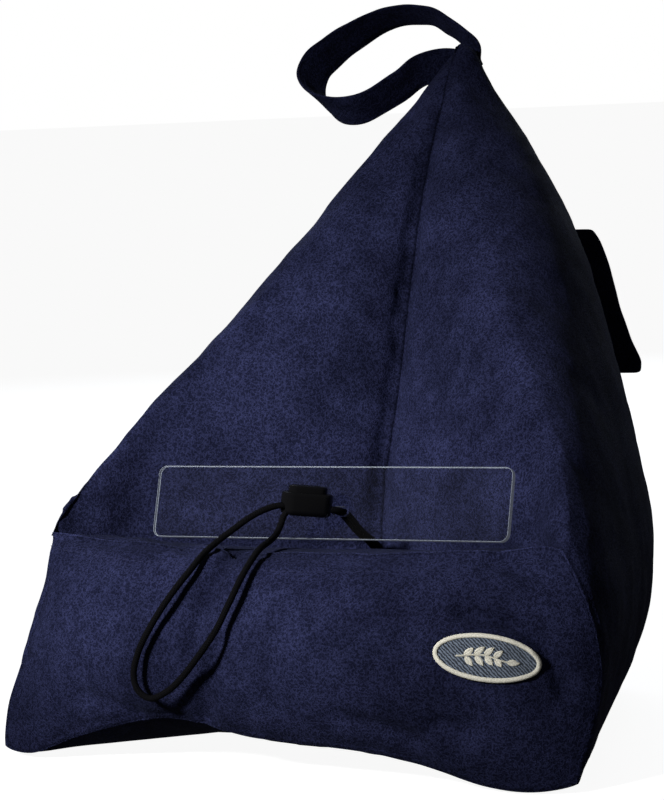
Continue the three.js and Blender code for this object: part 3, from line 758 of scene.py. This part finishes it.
class BOOKREST_OT_strap(bpy.types.Operator):
    """Builds the carry strap, a tube of suede sewn flat, with a fold along it and pressed edges."""

    bl_idname = "bookrest.strap"
    bl_label = "Carry strap"

    # Points round the strap, and half its thickness in mm.
    sides, half_thick = 28, 1.25
    # The fold's and the pressed edge's depth as a share of the thickness, and their widths in mm.
    fold_depth, fold_width = 0.75, 1.3
    hem_depth, hem_width = 0.3, 0.8
    # How far the fold lies from the middle and the pressed line from the edge, in mm.
    fold_place, hem_place = 1.4, 2.2
    # The directions that the camera sees as towards it and to the right.
    to_front, to_right = Vector((0.47, -0.88, 0)), Vector((0.88, 0.47, 0))

    def execute(self, context):
        middle = route([at(*row[:3]) for row in STRAP_ROUTE], 2)
        verts = []
        for index, (p, along, leans) in enumerate(zip(middle, directions(middle), self.spread(middle))):
            front, right, wide = leans
            across = Vector((0, 0, 1)) + self.to_front * front
            across += self.to_right * right
            across = (across - along * across.dot(along)).normalized()
            out = across.cross(along)
            free = min(1.0, min(index, len(middle) - 1 - index) / 8)
            for c, s in round_steps(self.sides):
                edge = noise.noise(Vector((index * 0.19, 7.0 if c > 0 else 2.0, 0)))
                u = math.copysign(abs(c) ** 0.5, c) * (wide / 2 + 0.5 * edge * free)
                t = math.copysign(abs(s) ** 0.7, s) * self.half_thick
                fold = self.fold_depth * bell(u - self.fold_place, self.fold_width)
                hem = self.hem_depth * bell(abs(u) - wide / 2 + self.hem_place, self.hem_width)
                ripple = 0.55 * free * noise.noise(Vector((index * 0.13, u * 0.16, 4)))
                verts.append(p + (across * u + out * (t * (1 - hem - fold) + ripple)) * MM)
        piece = piece_from("strap", verts, tube_faces(len(middle), self.sides))
        turn_outwards(piece)
        apply_modifier(piece, "SUBSURF", "finer", levels=1, render_levels=1)
        smooth_by_angle(piece, 60)
        finish_piece(piece, suede("navy-suede"), "suede", "rest", "carry-strap")
        return {"FINISHED"}

    def spread(self, middle):
        """Leans and width at each point of the middle line, from the nearest rows, evened out."""
        places = [at(*row[:3]) for row in STRAP_ROUTE]
        nearest = 0
        out = []
        for p in middle:
            while nearest < len(places) - 2 and (
                    (p - places[nearest + 1]).dot(places[nearest + 1] - places[nearest]) > 0):
                nearest += 1
            a, b = places[nearest], places[nearest + 1]
            t = max(0.0, min(1.0, (p - a).dot(b - a) / (b - a).length_squared))
            low, high = STRAP_ROUTE[nearest][3:], STRAP_ROUTE[nearest + 1][3:]
            out.append([x + (y - x) * t for x, y in zip(low, high)])
        for _ in range(4):
            ends = [out[0], *out, out[-1]]
            out = [[(a + b + c) / 3 for a, b, c in zip(*rows)] for rows in zip(ends, ends[1:], ends[2:])]
        return out


class BOOKREST_OT_flap(bpy.types.Operator):
    """Builds the flap of the back pocket with its hem."""

    bl_idname = "bookrest.flap"
    bl_label = "Pocket flap"

    # Width and height of the cloth that the flap was cut from.
    flat_size = (0.140, 0.078)
    # How far the hem's line lies from the edges, its width and its depth, in mm.
    hem_place, hem_width, hem_depth = 7, 1.2, 0.35

    def execute(self, context):
        piece = quads_of("pocket-flap", "flap", 30)
        sharp = piece.data.attributes.new("crease_edge", "FLOAT", "EDGE")
        sharp.data.foreach_set("value", [0.35] * len(piece.data.edges))
        apply_modifier(piece, "SUBSURF", "finer", levels=3, render_levels=3)
        low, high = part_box("pocket-flap")
        places = [v.co.copy() for v in piece.data.vertices]
        normals = [v.normal.copy() for v in piece.data.vertices]
        moved = []
        for p, n in zip(places, normals):
            inside = min(p.x - low.x, high.x - p.x, p.z - low.z) / MM
            pinch = self.hem_depth * bell(inside - self.hem_place, self.hem_width)
            ripple = 0.3 * noise.noise(p * 60)
            moved += tuple(p - n * (pinch + max(0, ripple)) * MM)
        piece.data.vertices.foreach_set("co", moved)
        piece.data.update()
        smooth_all(piece)
        finish_piece(piece, suede("navy-suede"), "suede", "rest", "pocket-flap")
        return {"FINISHED"}


class BOOKREST_OT_strip(bpy.types.Operator):
    """Builds the clear strip that holds the pages, with polished edges given a painted highlight and a
    faint painted glow, and the cord's hole.
    """

    bl_idname = "bookrest.strip"
    bl_label = "Clear strip"

    # The strip's rims are taken off by this, in mm.
    rim = 0.22
    # The oval hole: its middle on the strip, its radius and how far each half is drawn out, in mm.
    hole_middle = Vector((6.6, 0, -4))
    hole_radius, hole_reach = 2.3, 1.8
    # The strip's small turn and roll as it stands on the lip, in degrees.
    roll, turn = -0.5, -0.7

    def execute(self, context):
        sizes = context.scene.rest_strip
        deselect()
        bpy.ops.mesh.primitive_cube_add(size=1)
        piece = newest("clear-strip")
        piece.scale = (sizes.length, sizes.thickness, sizes.height)
        settle_place(piece)
        bevel_edges(piece, self.is_corner, sizes.corner, 10)
        bevel_edges(piece, self.is_rim, self.rim * MM, 2)
        self.cut_hole(piece)
        turned = Matrix.Identity(4)
        for angle, axis in (
                (-sizes.lean, "X"), (math.radians(self.roll), "Y"), (math.radians(self.turn), "Z")):
            turned = turned @ Matrix.Rotation(angle, 4, axis)
        piece.data.transform(Matrix.Translation(at(*HOLDER_MIDDLE)) @ turned)
        clear = self.scuffed(
            "clear-plastic", 0.02, 0.055, Base_Color=(0.97, 0.985, 1), Transmission_Weight=1.0)
        # The rims get a pale base colour and a faint glow: a painted highlight along the polished edges,
        # which are clear.
        edge = self.scuffed(
            "polished-edge", 0.22, 0.4, Base_Color=(0.3, 0.33, 0.38), Transmission_Weight=0.3,
            Emission_Color=(0.75, 0.82, 0.95), Emission_Strength=0.07)
        finish_piece(piece, clear, "clear", "rest", "page-holder")
        piece.data.materials.append(edge)
        facing = turned.to_3x3() @ Vector((0, 1, 0))
        hole = at(*HOLDER_MIDDLE) + self.hole_middle * MM
        for face in piece.data.polygons:
            outer = abs(face.normal.dot(facing)) < 0.97 and (face.center - hole).length > 8 * MM
            face.material_index = int(outer)
        smooth_by_angle(piece, 15)
        piece.visible_shadow = False
        deselect()
        return {"FINISHED"}

    def is_corner(self, edge):
        direction = (edge.verts[1].co - edge.verts[0].co).normalized()
        return abs(direction.y) > 0.9

    def is_rim(self, edge):
        a, b = (abs(face.normal.y) for face in edge.link_faces)
        return min(a, b) < 0.9 < max(a, b)

    def cut_hole(self, piece):
        deselect()
        bpy.ops.mesh.primitive_cylinder_add(
            vertices=48, radius=self.hole_radius * MM, depth=20 * MM, rotation=(math.pi / 2, 0, 0))
        cutter = newest("hole-cutter")
        settle_place(cutter)
        for vertex in cutter.data.vertices:
            vertex.co.x += math.copysign(self.hole_reach * MM, vertex.co.x)
            vertex.co += self.hole_middle * MM
        cut_from(piece, cutter)

    def scuffed(self, name, smooth, worn, **inputs):
        """Clear plastic with faint rubbed streaks along it."""
        made, tree, shader = material(name, IOR=1.45, **inputs)
        rubbed = noise_at(tree, coordinates(tree, (1, 6, 6)), 55, 4, 0.6)
        join(tree, ramp(tree, rubbed, [(0.4, smooth), (0.7, worn)]), shader.inputs["Roughness"])
        return made


class BOOKREST_OT_cord(bpy.types.Operator):
    """Lays the braided elastic cord along its route."""

    bl_idname = "bookrest.cord"
    bl_label = "Elastic cord"

    # Points round the cord, and the length of cord that one repeat of its braid takes, in mm.
    sides, repeat = 16, 6

    def execute(self, context):
        sizes = context.scene.rest_fittings
        middle = route([at(*p) for p in CORD_ROUTE], 0.9)
        radius = sizes.cord / 2
        verts = []
        side = directions(middle)[0].orthogonal().normalized()
        for p, along in zip(middle, directions(middle)):
            side = (side - along * side.dot(along)).normalized()
            up = along.cross(side)
            verts += [p + (side * c + up * s) * radius for c, s in round_steps(self.sides)]
        piece = piece_from("elastic-cord", verts, tube_faces(len(middle), self.sides))
        travelled = [0.0]
        for a, b in zip(middle, middle[1:]):
            travelled.append(travelled[-1] + (b - a).length)
        self.unroll(piece, travelled)
        smooth_by_angle(piece, 50)
        finish_piece(piece, self.braid(), "elastic", "rest", "cord")
        return {"FINISHED"}

    def unroll(self, piece, travelled):
        """The braid's map: once round the cord across, and along it in repeats."""
        corners = []
        for low, high in zip(travelled, travelled[1:]):
            for k in range(self.sides):
                a, b = k / self.sides, (k + 1) / self.sides
                corners += [(a, low), (b, low), (b, high), (a, high)]
        corners += [(0.5, 0.0)] * self.sides + [(0.5, travelled[-1])] * self.sides
        layer = piece.data.uv_layers.new(name="braid")
        for loop, (u, v) in zip(layer.data, corners):
            loop.uv = (u, v / (self.repeat * MM))

    def braid(self):
        """Two crossing families of fine yarns round the cord."""
        made, tree, shader = material("black-elastic", Roughness=0.8, Specular_IOR_Level=0.15)
        place = node(tree, "ShaderNodeUVMap", uv_map="braid")
        parts = node(tree, "ShaderNodeSeparateXYZ")
        join(tree, place.outputs["UV"], parts.inputs["Vector"])
        around, along = (maths(tree, "MULTIPLY", parts.outputs[axis], count) for axis, count in (
            ("X", 8), ("Y", 6)))
        waves = []
        for sign in ("ADD", "SUBTRACT"):
            slant = maths(tree, sign, around, along)
            waves.append(maths(tree, "SINE", maths(tree, "MULTIPLY", slant, 2 * math.pi)))
        height = maths(tree, "MAXIMUM", *waves)
        tones = ramp(tree, maths(tree, "MULTIPLY_ADD", height, 0.5), [
            (0.0, (0.0015, 0.0015, 0.002)), (1.0, (0.006, 0.006, 0.007))])
        join(tree, tones, shader.inputs["Base Color"])
        add_bump(tree, shader, height, 0.7, 0.3 * MM)
        return made


# The middle of the lock, in mm in the rest's own frame, and the direction of the strands in it.
LOCK_MIDDLE = (-4.6, 23.5, 115.8)
LOCK_ALONG = Vector((0.748, 0.646, -0.154)).normalized()


def lock_place():
    """The lock's own frame: x along the strands, z to the top of its button."""
    across = Vector((0, 0, 1)).cross(LOCK_ALONG).normalized()
    up = LOCK_ALONG.cross(across)
    return Matrix.Translation(at(*LOCK_MIDDLE)) @ Matrix((LOCK_ALONG, across, up)).transposed().to_4x4()


class BOOKREST_OT_lock(bpy.types.Operator):
    """Builds the cord lock: its barrel with channel, mouth and pocket, and its sprung button."""

    bl_idname = "bookrest.lock"
    bl_label = "Cord lock"

    # The mouth that the strands come in by: its size and its middle in the lock's own frame, in mm.
    mouth_size = Vector((8.4, 3.7, 4.8))
    mouth_middle = Vector((-8.8, -1.85, -2.4))

    def execute(self, context):
        black = self.plastic(tuple(context.scene.rest_fittings.black))
        body = self.stadium("lock-body", long=24.5, wide=11.5, low=-3.8, high=7.2, rounds=(2.8, 1.4))
        cut_from(body, self.stadium("well", long=19.2, wide=8.6, low=2.3, high=9))
        channel = self.stadium("channel", long=7.4, wide=4.2, low=-20, high=20)
        quarter = math.pi / 2
        channel.data.transform(Matrix.Rotation(quarter, 4, "Y") @ Matrix.Rotation(quarter, 4, "Z"))
        cut_from(body, channel)
        deselect()
        bpy.ops.mesh.primitive_cube_add(size=1)
        mouth = newest("mouth")
        mouth.scale = self.mouth_size * MM
        mouth.location = self.mouth_middle * MM
        settle_place(mouth)
        cut_from(body, mouth)
        button = self.stadium("lock-plunger", long=18.5, wide=7.9, low=5.1, high=10.4, rounds=(0.5, 1.3))
        self.thumb_dish(button)
        for piece, ride, solid in ((body, "rest", "lock-barrel"), (button, "button", "lock-button")):
            piece.data.transform(lock_place())
            smooth_by_angle(piece, 40)
            finish_piece(piece, black, "black_plastic", ride, solid)
            piece.visible_shadow = False
        return {"FINISHED"}

    def stadium(self, name, long, wide, low, high, rounds=()):
        """A slab with round ends, in mm, its lower and upper rims rounded."""
        deselect()
        middle = (low + high) / 2 * MM
        bpy.ops.mesh.primitive_cylinder_add(
            vertices=64, radius=wide / 2 * MM, depth=(high - low) * MM, location=(0, 0, middle))
        piece = newest(name)
        settle_place(piece)
        reach = (long - wide) / 2 * MM
        for vertex in piece.data.vertices:
            if abs(vertex.co.x) > 1e-6:
                vertex.co.x += math.copysign(reach, vertex.co.x)
        for radius, rim in zip(rounds, (low * MM, high * MM)):
            bevel_edges(
                piece, lambda edge: all(abs(v.co.z - rim) < 1e-6 for v in edge.verts), radius * MM, 6)
        return piece

    def thumb_dish(self, button):
        """A shallow dish in the button's top."""
        select_in_edit(button, "faces", lambda face: face.normal.z > 0.99 and len(face.verts) > 8)
        for inward, deep in ((0.9, 0), (0.5, 0.35), (1.2, 0.15)):
            bpy.ops.mesh.inset(thickness=inward * MM, depth=-deep * MM)
        bpy.ops.object.mode_set(mode="OBJECT")

    def plastic(self, colour):
        """Moulded plastic with a faint grain."""
        made, tree, shader = material("black-plastic", Base_Color=colour, Specular_IOR_Level=0.35)
        place = coordinates(tree)
        wear = ramp(tree, noise_at(tree, place, 260, 3), [(0.35, 0.26), (0.7, 0.42)])
        join(tree, wear, shader.inputs["Roughness"])
        add_bump(tree, shader, noise_at(tree, place, 1500), 0.15, 0.1 * MM)
        return made


class BOOKREST_OT_badge(bpy.types.Operator):
    """Embroiders the oval badge: twill field, satin border and a leaf sprig."""

    bl_idname = "bookrest.badge"
    bl_label = "Badge"

    # Half its length and half its height, the middle of it in mm in the rest's own frame, its tilt.
    long, short = 24.0, 10.7
    middle = (110.4, -30.5, 60)
    slope = math.radians(-8.3)
    # The way that the badge faces.
    facing = Vector((0.27, -0.91, 0.3)).normalized()
    # The border's middle line as shares of the badge, its radius, height and half thickness in mm.
    border_long, border_short = 0.952, 0.895
    border_radius, border_rise, border_half = 1.1, 1.45, 0.75
    # The sprig: half its stem's width, the threads of a leaf, its vein's depth and its foot, in mm.
    stem_half, leaf_threads, vein_depth, pad_foot = 0.38, 18, 0.28, 0.9
    # Nothing of the badge lies lower on the cover than this, in mm.
    underside = 0.5

    def execute(self, context):
        sizes = context.scene.rest_fittings
        self.surface = BVHTree.FromObject(
            bpy.data.objects["cover"], bpy.context.evaluated_depsgraph_get())
        level = Vector((0, 0, 1)).cross(self.facing).normalized()
        self.across = Matrix.Rotation(self.slope, 3, self.facing) @ level
        self.up = self.facing.cross(self.across)
        field = self.disc("badge-field", [(0.4, 1.35), (0.7, 1.35), (0.93, 1.3), (0.935, self.underside)])
        finish_piece(field, self.twill(tuple(sizes.field)), "embroidery", "rest", "badge")
        cream = thread_material("cream-thread", tuple(sizes.thread))
        for thread_piece in (self.satin_border(), self.sprig()):
            finish_piece(thread_piece, cream, "embroidery", "rest")
        return {"FINISHED"}

    def on_cover(self, u, v, rise):
        """A point of the badge: u and v in mm on it, rise in mm off the cover."""
        start = at(*self.middle) + (self.across * u + self.up * v + self.facing * 60) * MM
        place = self.surface.ray_cast(start, -self.facing)[0]
        return place + self.facing * rise * MM

    def disc(self, name, rows, spokes=96):
        """A closed oval pad whose rings are given as shares of the badge and heights in mm."""
        verts = [
            self.on_cover(share * self.long * c, share * self.short * s, rise)
            for share, rise in rows for c, s in round_steps(spokes)]
        verts.append(self.on_cover(0, 0, rows[0][1]))
        *walls, _, under = tube_faces(len(rows), spokes)
        hub = len(verts) - 1
        top = [(hub, k, (k + 1) % spokes) for k in range(spokes)]
        piece = piece_from(name, verts, [*walls, *top, under])
        turn_outwards(piece)
        smooth_by_angle(piece, 50)
        return piece

    def satin_border(self, spokes=420, sides=10):
        """A padded ring whose surface is combed into threads that lie across it."""
        verts, faces = [], []
        for k, (c, s) in enumerate(round_steps(spokes)):
            out = Vector((c / self.long, s / self.short)).normalized() * self.border_radius
            thread = 0.12 if k % 2 else -0.06
            for inward, upward in round_steps(sides):
                u = self.border_long * self.long * c + out.x * inward
                v = self.border_short * self.short * s + out.y * inward
                rise = self.border_rise + upward * self.border_half + (thread if upward > 0 else 0)
                verts.append(self.on_cover(u, v, max(self.underside, rise)))
            n = (k + 1) % spokes
            for side in range(sides):
                t = (side + 1) % sides
                faces.append((k * sides + side, n * sides + side, n * sides + t, k * sides + t))
        piece = piece_from("badge-border", verts, faces)
        turn_outwards(piece)
        smooth_all(piece)
        return piece

    def sprig(self):
        """A stem with four pairs of leaves and one at its end, in raised satin stitch."""
        stem = [(-13.5 + 1.1 * k, 0.9 * math.sin(0.26 * k - 1.2)) for k in range(22)]
        half = self.stem_half
        pads = [[[(x, y - half, 1.5), (x, y, 1.9), (x, y + half, 1.5)] for x, y in stem]]
        for k, reach in ((3, 5.4), (7, 5.8), (11, 5.4), (15, 4.8)):
            x, y = stem[k]
            pads.append(self.leaf(x + 0.3, y + 0.3, 42, reach, 1.35))
            pads.append(self.leaf(x + 0.9, y - 0.3, -42, reach, 1.35))
        pads.append(self.leaf(stem[-1][0] - 0.4, stem[-1][1], 4, 5.6, 1.4))
        verts, faces = [], []
        for rows in pads:
            self.add_pad(rows, verts, faces)
        piece = piece_from("badge-sprig", verts, faces)
        turn_outwards(piece)
        smooth_by_angle(piece, 40)
        return piece

    def leaf(self, x, y, degrees, reach, half):
        """Rows of points of a leaf from its foot, in mm: each thread lies across, the vein is sunk."""
        c, s = math.cos(math.radians(degrees)), math.sin(math.radians(degrees))
        rows = []
        for j in range(self.leaf_threads + 1):
            t = j / self.leaf_threads
            wide = half * max(0.04, math.sin(math.pi * t ** 0.85)) ** 0.8
            thread = 0.09 if j % 2 else 0.0
            row = []
            for k in range(-3, 4):
                share = k / 3
                vein = self.vein_depth if k == 0 else 0.0
                rise = 1.45 + 0.5 * math.sqrt(1 - 0.95 * share * share) - vein + thread
                row.append((
                    x + c * reach * t - s * wide * share, y + s * reach * t + c * wide * share, rise))
            rows.append(row)
        return rows

    def add_pad(self, rows, verts, faces):
        """Adds a closed pad to the lists from its rows of (u, v, rise) points."""
        wide = len(rows[0])
        start = len(verts)
        for row in rows:
            verts.extend(self.on_cover(*p) for p in row)
        for r in range(len(rows) - 1):
            for k in range(wide - 1):
                a = start + r * wide + k
                faces.append((a, a + 1, a + 1 + wide, a + wide))
        under = len(verts)
        for row in rows:
            verts.extend(self.on_cover(u, v, self.pad_foot) for u, v, _ in (row[0], row[-1]))
        for r in range(len(rows) - 1):
            a, b = start + r * wide, start + (r + 1) * wide
            c, d = under + 2 * r, under + 2 * r + 2
            faces.append((a, b, d, c))
            faces.append((b + wide - 1, a + wide - 1, c + 1, d + 1))
            faces.append((c, d, d + 1, c + 1))
        for r in (0, len(rows) - 1):
            top = [start + r * wide + k for k in range(wide)]
            faces.append((*top, under + 2 * r + 1, under + 2 * r))

    def twill(self, colour):
        """Woven field with a fine diagonal."""
        made, tree, shader = material("grey-blue-twill", Roughness=0.8, Sheen_Weight=0.2)
        wave = node(
            tree, "ShaderNodeTexWave", wave_type="BANDS", bands_direction="DIAGONAL", Scale=300,
            Distortion=3.5)
        wave.inputs["Detail Scale"].default_value = 2.5
        join(tree, coordinates(tree), wave.inputs["Vector"])
        tones = ramp(tree, wave.outputs["Fac"], [(0.3, shade(colour, 0.3)), (0.75, shade(colour, 1.7))])
        join(tree, tones, shader.inputs["Base Color"])
        add_bump(tree, shader, wave.outputs["Fac"], 0.5, 0.2 * MM)
        return made


class BOOKREST_OT_camera(bpy.types.Operator):
    """Places the camera where the photograph was taken from."""

    bl_idname = "bookrest.camera"
    bl_label = "Camera"

    def execute(self, context):
        azimuth, elevation, roll = (math.radians(angle) for angle in CAMERA_ANGLES)
        back = Vector((math.sin(azimuth) * math.cos(elevation),
                       -math.cos(azimuth) * math.cos(elevation), math.sin(elevation)))
        level = Vector((math.cos(azimuth), math.sin(azimuth), 0))
        rise = back.cross(level)
        right = level * math.cos(roll) - rise * math.sin(roll)
        up = level * math.sin(roll) + rise * math.cos(roll)
        lens = bpy.data.cameras.new("camera")
        lens.lens = FOCAL_LENGTH
        lens.sensor_width = 36
        camera = bpy.data.objects.new("camera", lens)
        context.scene.collection.objects.link(camera)
        turned = Matrix((right, up, back)).transposed().to_4x4()
        place = at(*CAMERA_TARGET) + back * CAMERA_DISTANCE * MM
        camera.matrix_world = Matrix.Translation(place) @ turned
        context.scene.camera = camera
        return {"FINISHED"}


class BOOKREST_OT_stage(bpy.types.Operator):
    """Lays the pale floor, which is the backdrop too, and sets the soft lights."""

    bl_idname = "bookrest.stage"
    bl_label = "Stage"

    def execute(self, context):
        deselect()
        bpy.ops.mesh.primitive_plane_add(size=40)
        floor = newest("floor")
        pale, _, _ = material(
            "pale-floor", Base_Color=(0.35, 0.35, 0.35), Roughness=0.9, Specular_IOR_Level=0.0,
            Emission_Color=(1, 1, 1), Emission_Strength=0.93)
        floor.data.materials.append(pale)
        floor.visible_diffuse = False
        floor.visible_glossy = False
        floor.visible_transmission = False
        self.key()
        self.back_light()
        self.studio(context)
        context.scene.view_settings.view_transform = "Standard"
        deselect()
        return {"FINISHED"}

    def key(self):
        """The main light, in front and a little to the left, its pool of light on the lip."""
        lamp = bpy.data.lights.new("key", "SPOT")
        lamp.energy = 172
        lamp.shadow_soft_size = 0.12
        lamp.spot_size = math.radians(21.5)
        lamp.spot_blend = 1
        key = self.aim("key", lamp, Vector((-0.4, -1.3, 0.8)), Vector((-0.045, -0.05, 0.134)))
        key.visible_glossy = False
        key.visible_transmission = False

    def back_light(self):
        """A broad, faintly blue light from behind."""
        lamp = bpy.data.lights.new("back", "AREA")
        lamp.energy = 10
        lamp.size = 1.2
        lamp.color = (0.78, 0.87, 1)
        self.aim("back", lamp, Vector((-0.5, 1.3, 0.9)), Vector((0, 0, 0.15)))

    def aim(self, name, lamp, place, target):
        made = bpy.data.objects.new(name, lamp)
        made.location = place
        made.rotation_mode = "QUATERNION"
        made.rotation_quaternion = (target - place).to_track_quat("-Z", "Y")
        made.visible_camera = False
        bpy.context.scene.collection.objects.link(made)
        return made

    def studio(self, context):
        """A white room to look at that gives off only a little light."""
        world = bpy.data.worlds.new("studio")
        world.use_nodes = True
        tree = world.node_tree
        background = tree.nodes["Background"]
        background.inputs["Color"].default_value = (1, 1, 1, 1)
        rays = node(tree, "ShaderNodeLightPath")
        strength = node(tree, "ShaderNodeMapRange")
        strength.inputs["To Min"].default_value = 0.05
        strength.inputs["To Max"].default_value = 1.0
        join(tree, rays.outputs["Is Camera Ray"], strength.inputs["Value"])
        join(tree, strength.outputs["Result"], background.inputs["Strength"])
        context.scene.world = world


class BOOKREST_PT_panel(bpy.types.Panel):
    """Lists the sizes and the pieces of the book rest."""

    bl_idname = "BOOKREST_PT_panel"
    bl_label = "Book Rest"
    bl_space_type = "VIEW_3D"
    bl_region_type = "UI"
    bl_category = "Book Rest"

    def draw(self, context):
        layout = self.layout
        for group in (context.scene.rest_cover, context.scene.rest_strip, context.scene.rest_fittings):
            for name in group.__annotations__:
                layout.prop(group, name)
        for operator in OPERATORS:
            layout.operator(operator.bl_idname)


OPERATORS = (
    BOOKREST_OT_camera, BOOKREST_OT_cover, BOOKREST_OT_topstitching, BOOKREST_OT_strap,
    BOOKREST_OT_flap, BOOKREST_OT_strip, BOOKREST_OT_lock, BOOKREST_OT_cord,
    BOOKREST_OT_badge, BOOKREST_OT_stage,
)
CLASSES = (CoverSizes, StripSizes, FittingSizes, *OPERATORS, BOOKREST_PT_panel)


def register():
    for made in CLASSES:
        bpy.utils.register_class(made)
    bpy.types.Scene.rest_cover = bpy.props.PointerProperty(type=CoverSizes)
    bpy.types.Scene.rest_strip = bpy.props.PointerProperty(type=StripSizes)
    bpy.types.Scene.rest_fittings = bpy.props.PointerProperty(type=FittingSizes)


def unregister():
    del bpy.types.Scene.rest_cover
    del bpy.types.Scene.rest_strip
    del bpy.types.Scene.rest_fittings
    for made in reversed(CLASSES):
        bpy.utils.unregister_class(made)


def main():
    register()
    for operator in OPERATORS:
        group, name = operator.bl_idname.split(".")
        getattr(getattr(bpy.ops, group), name)()


if __name__ == "__main__":
    main()
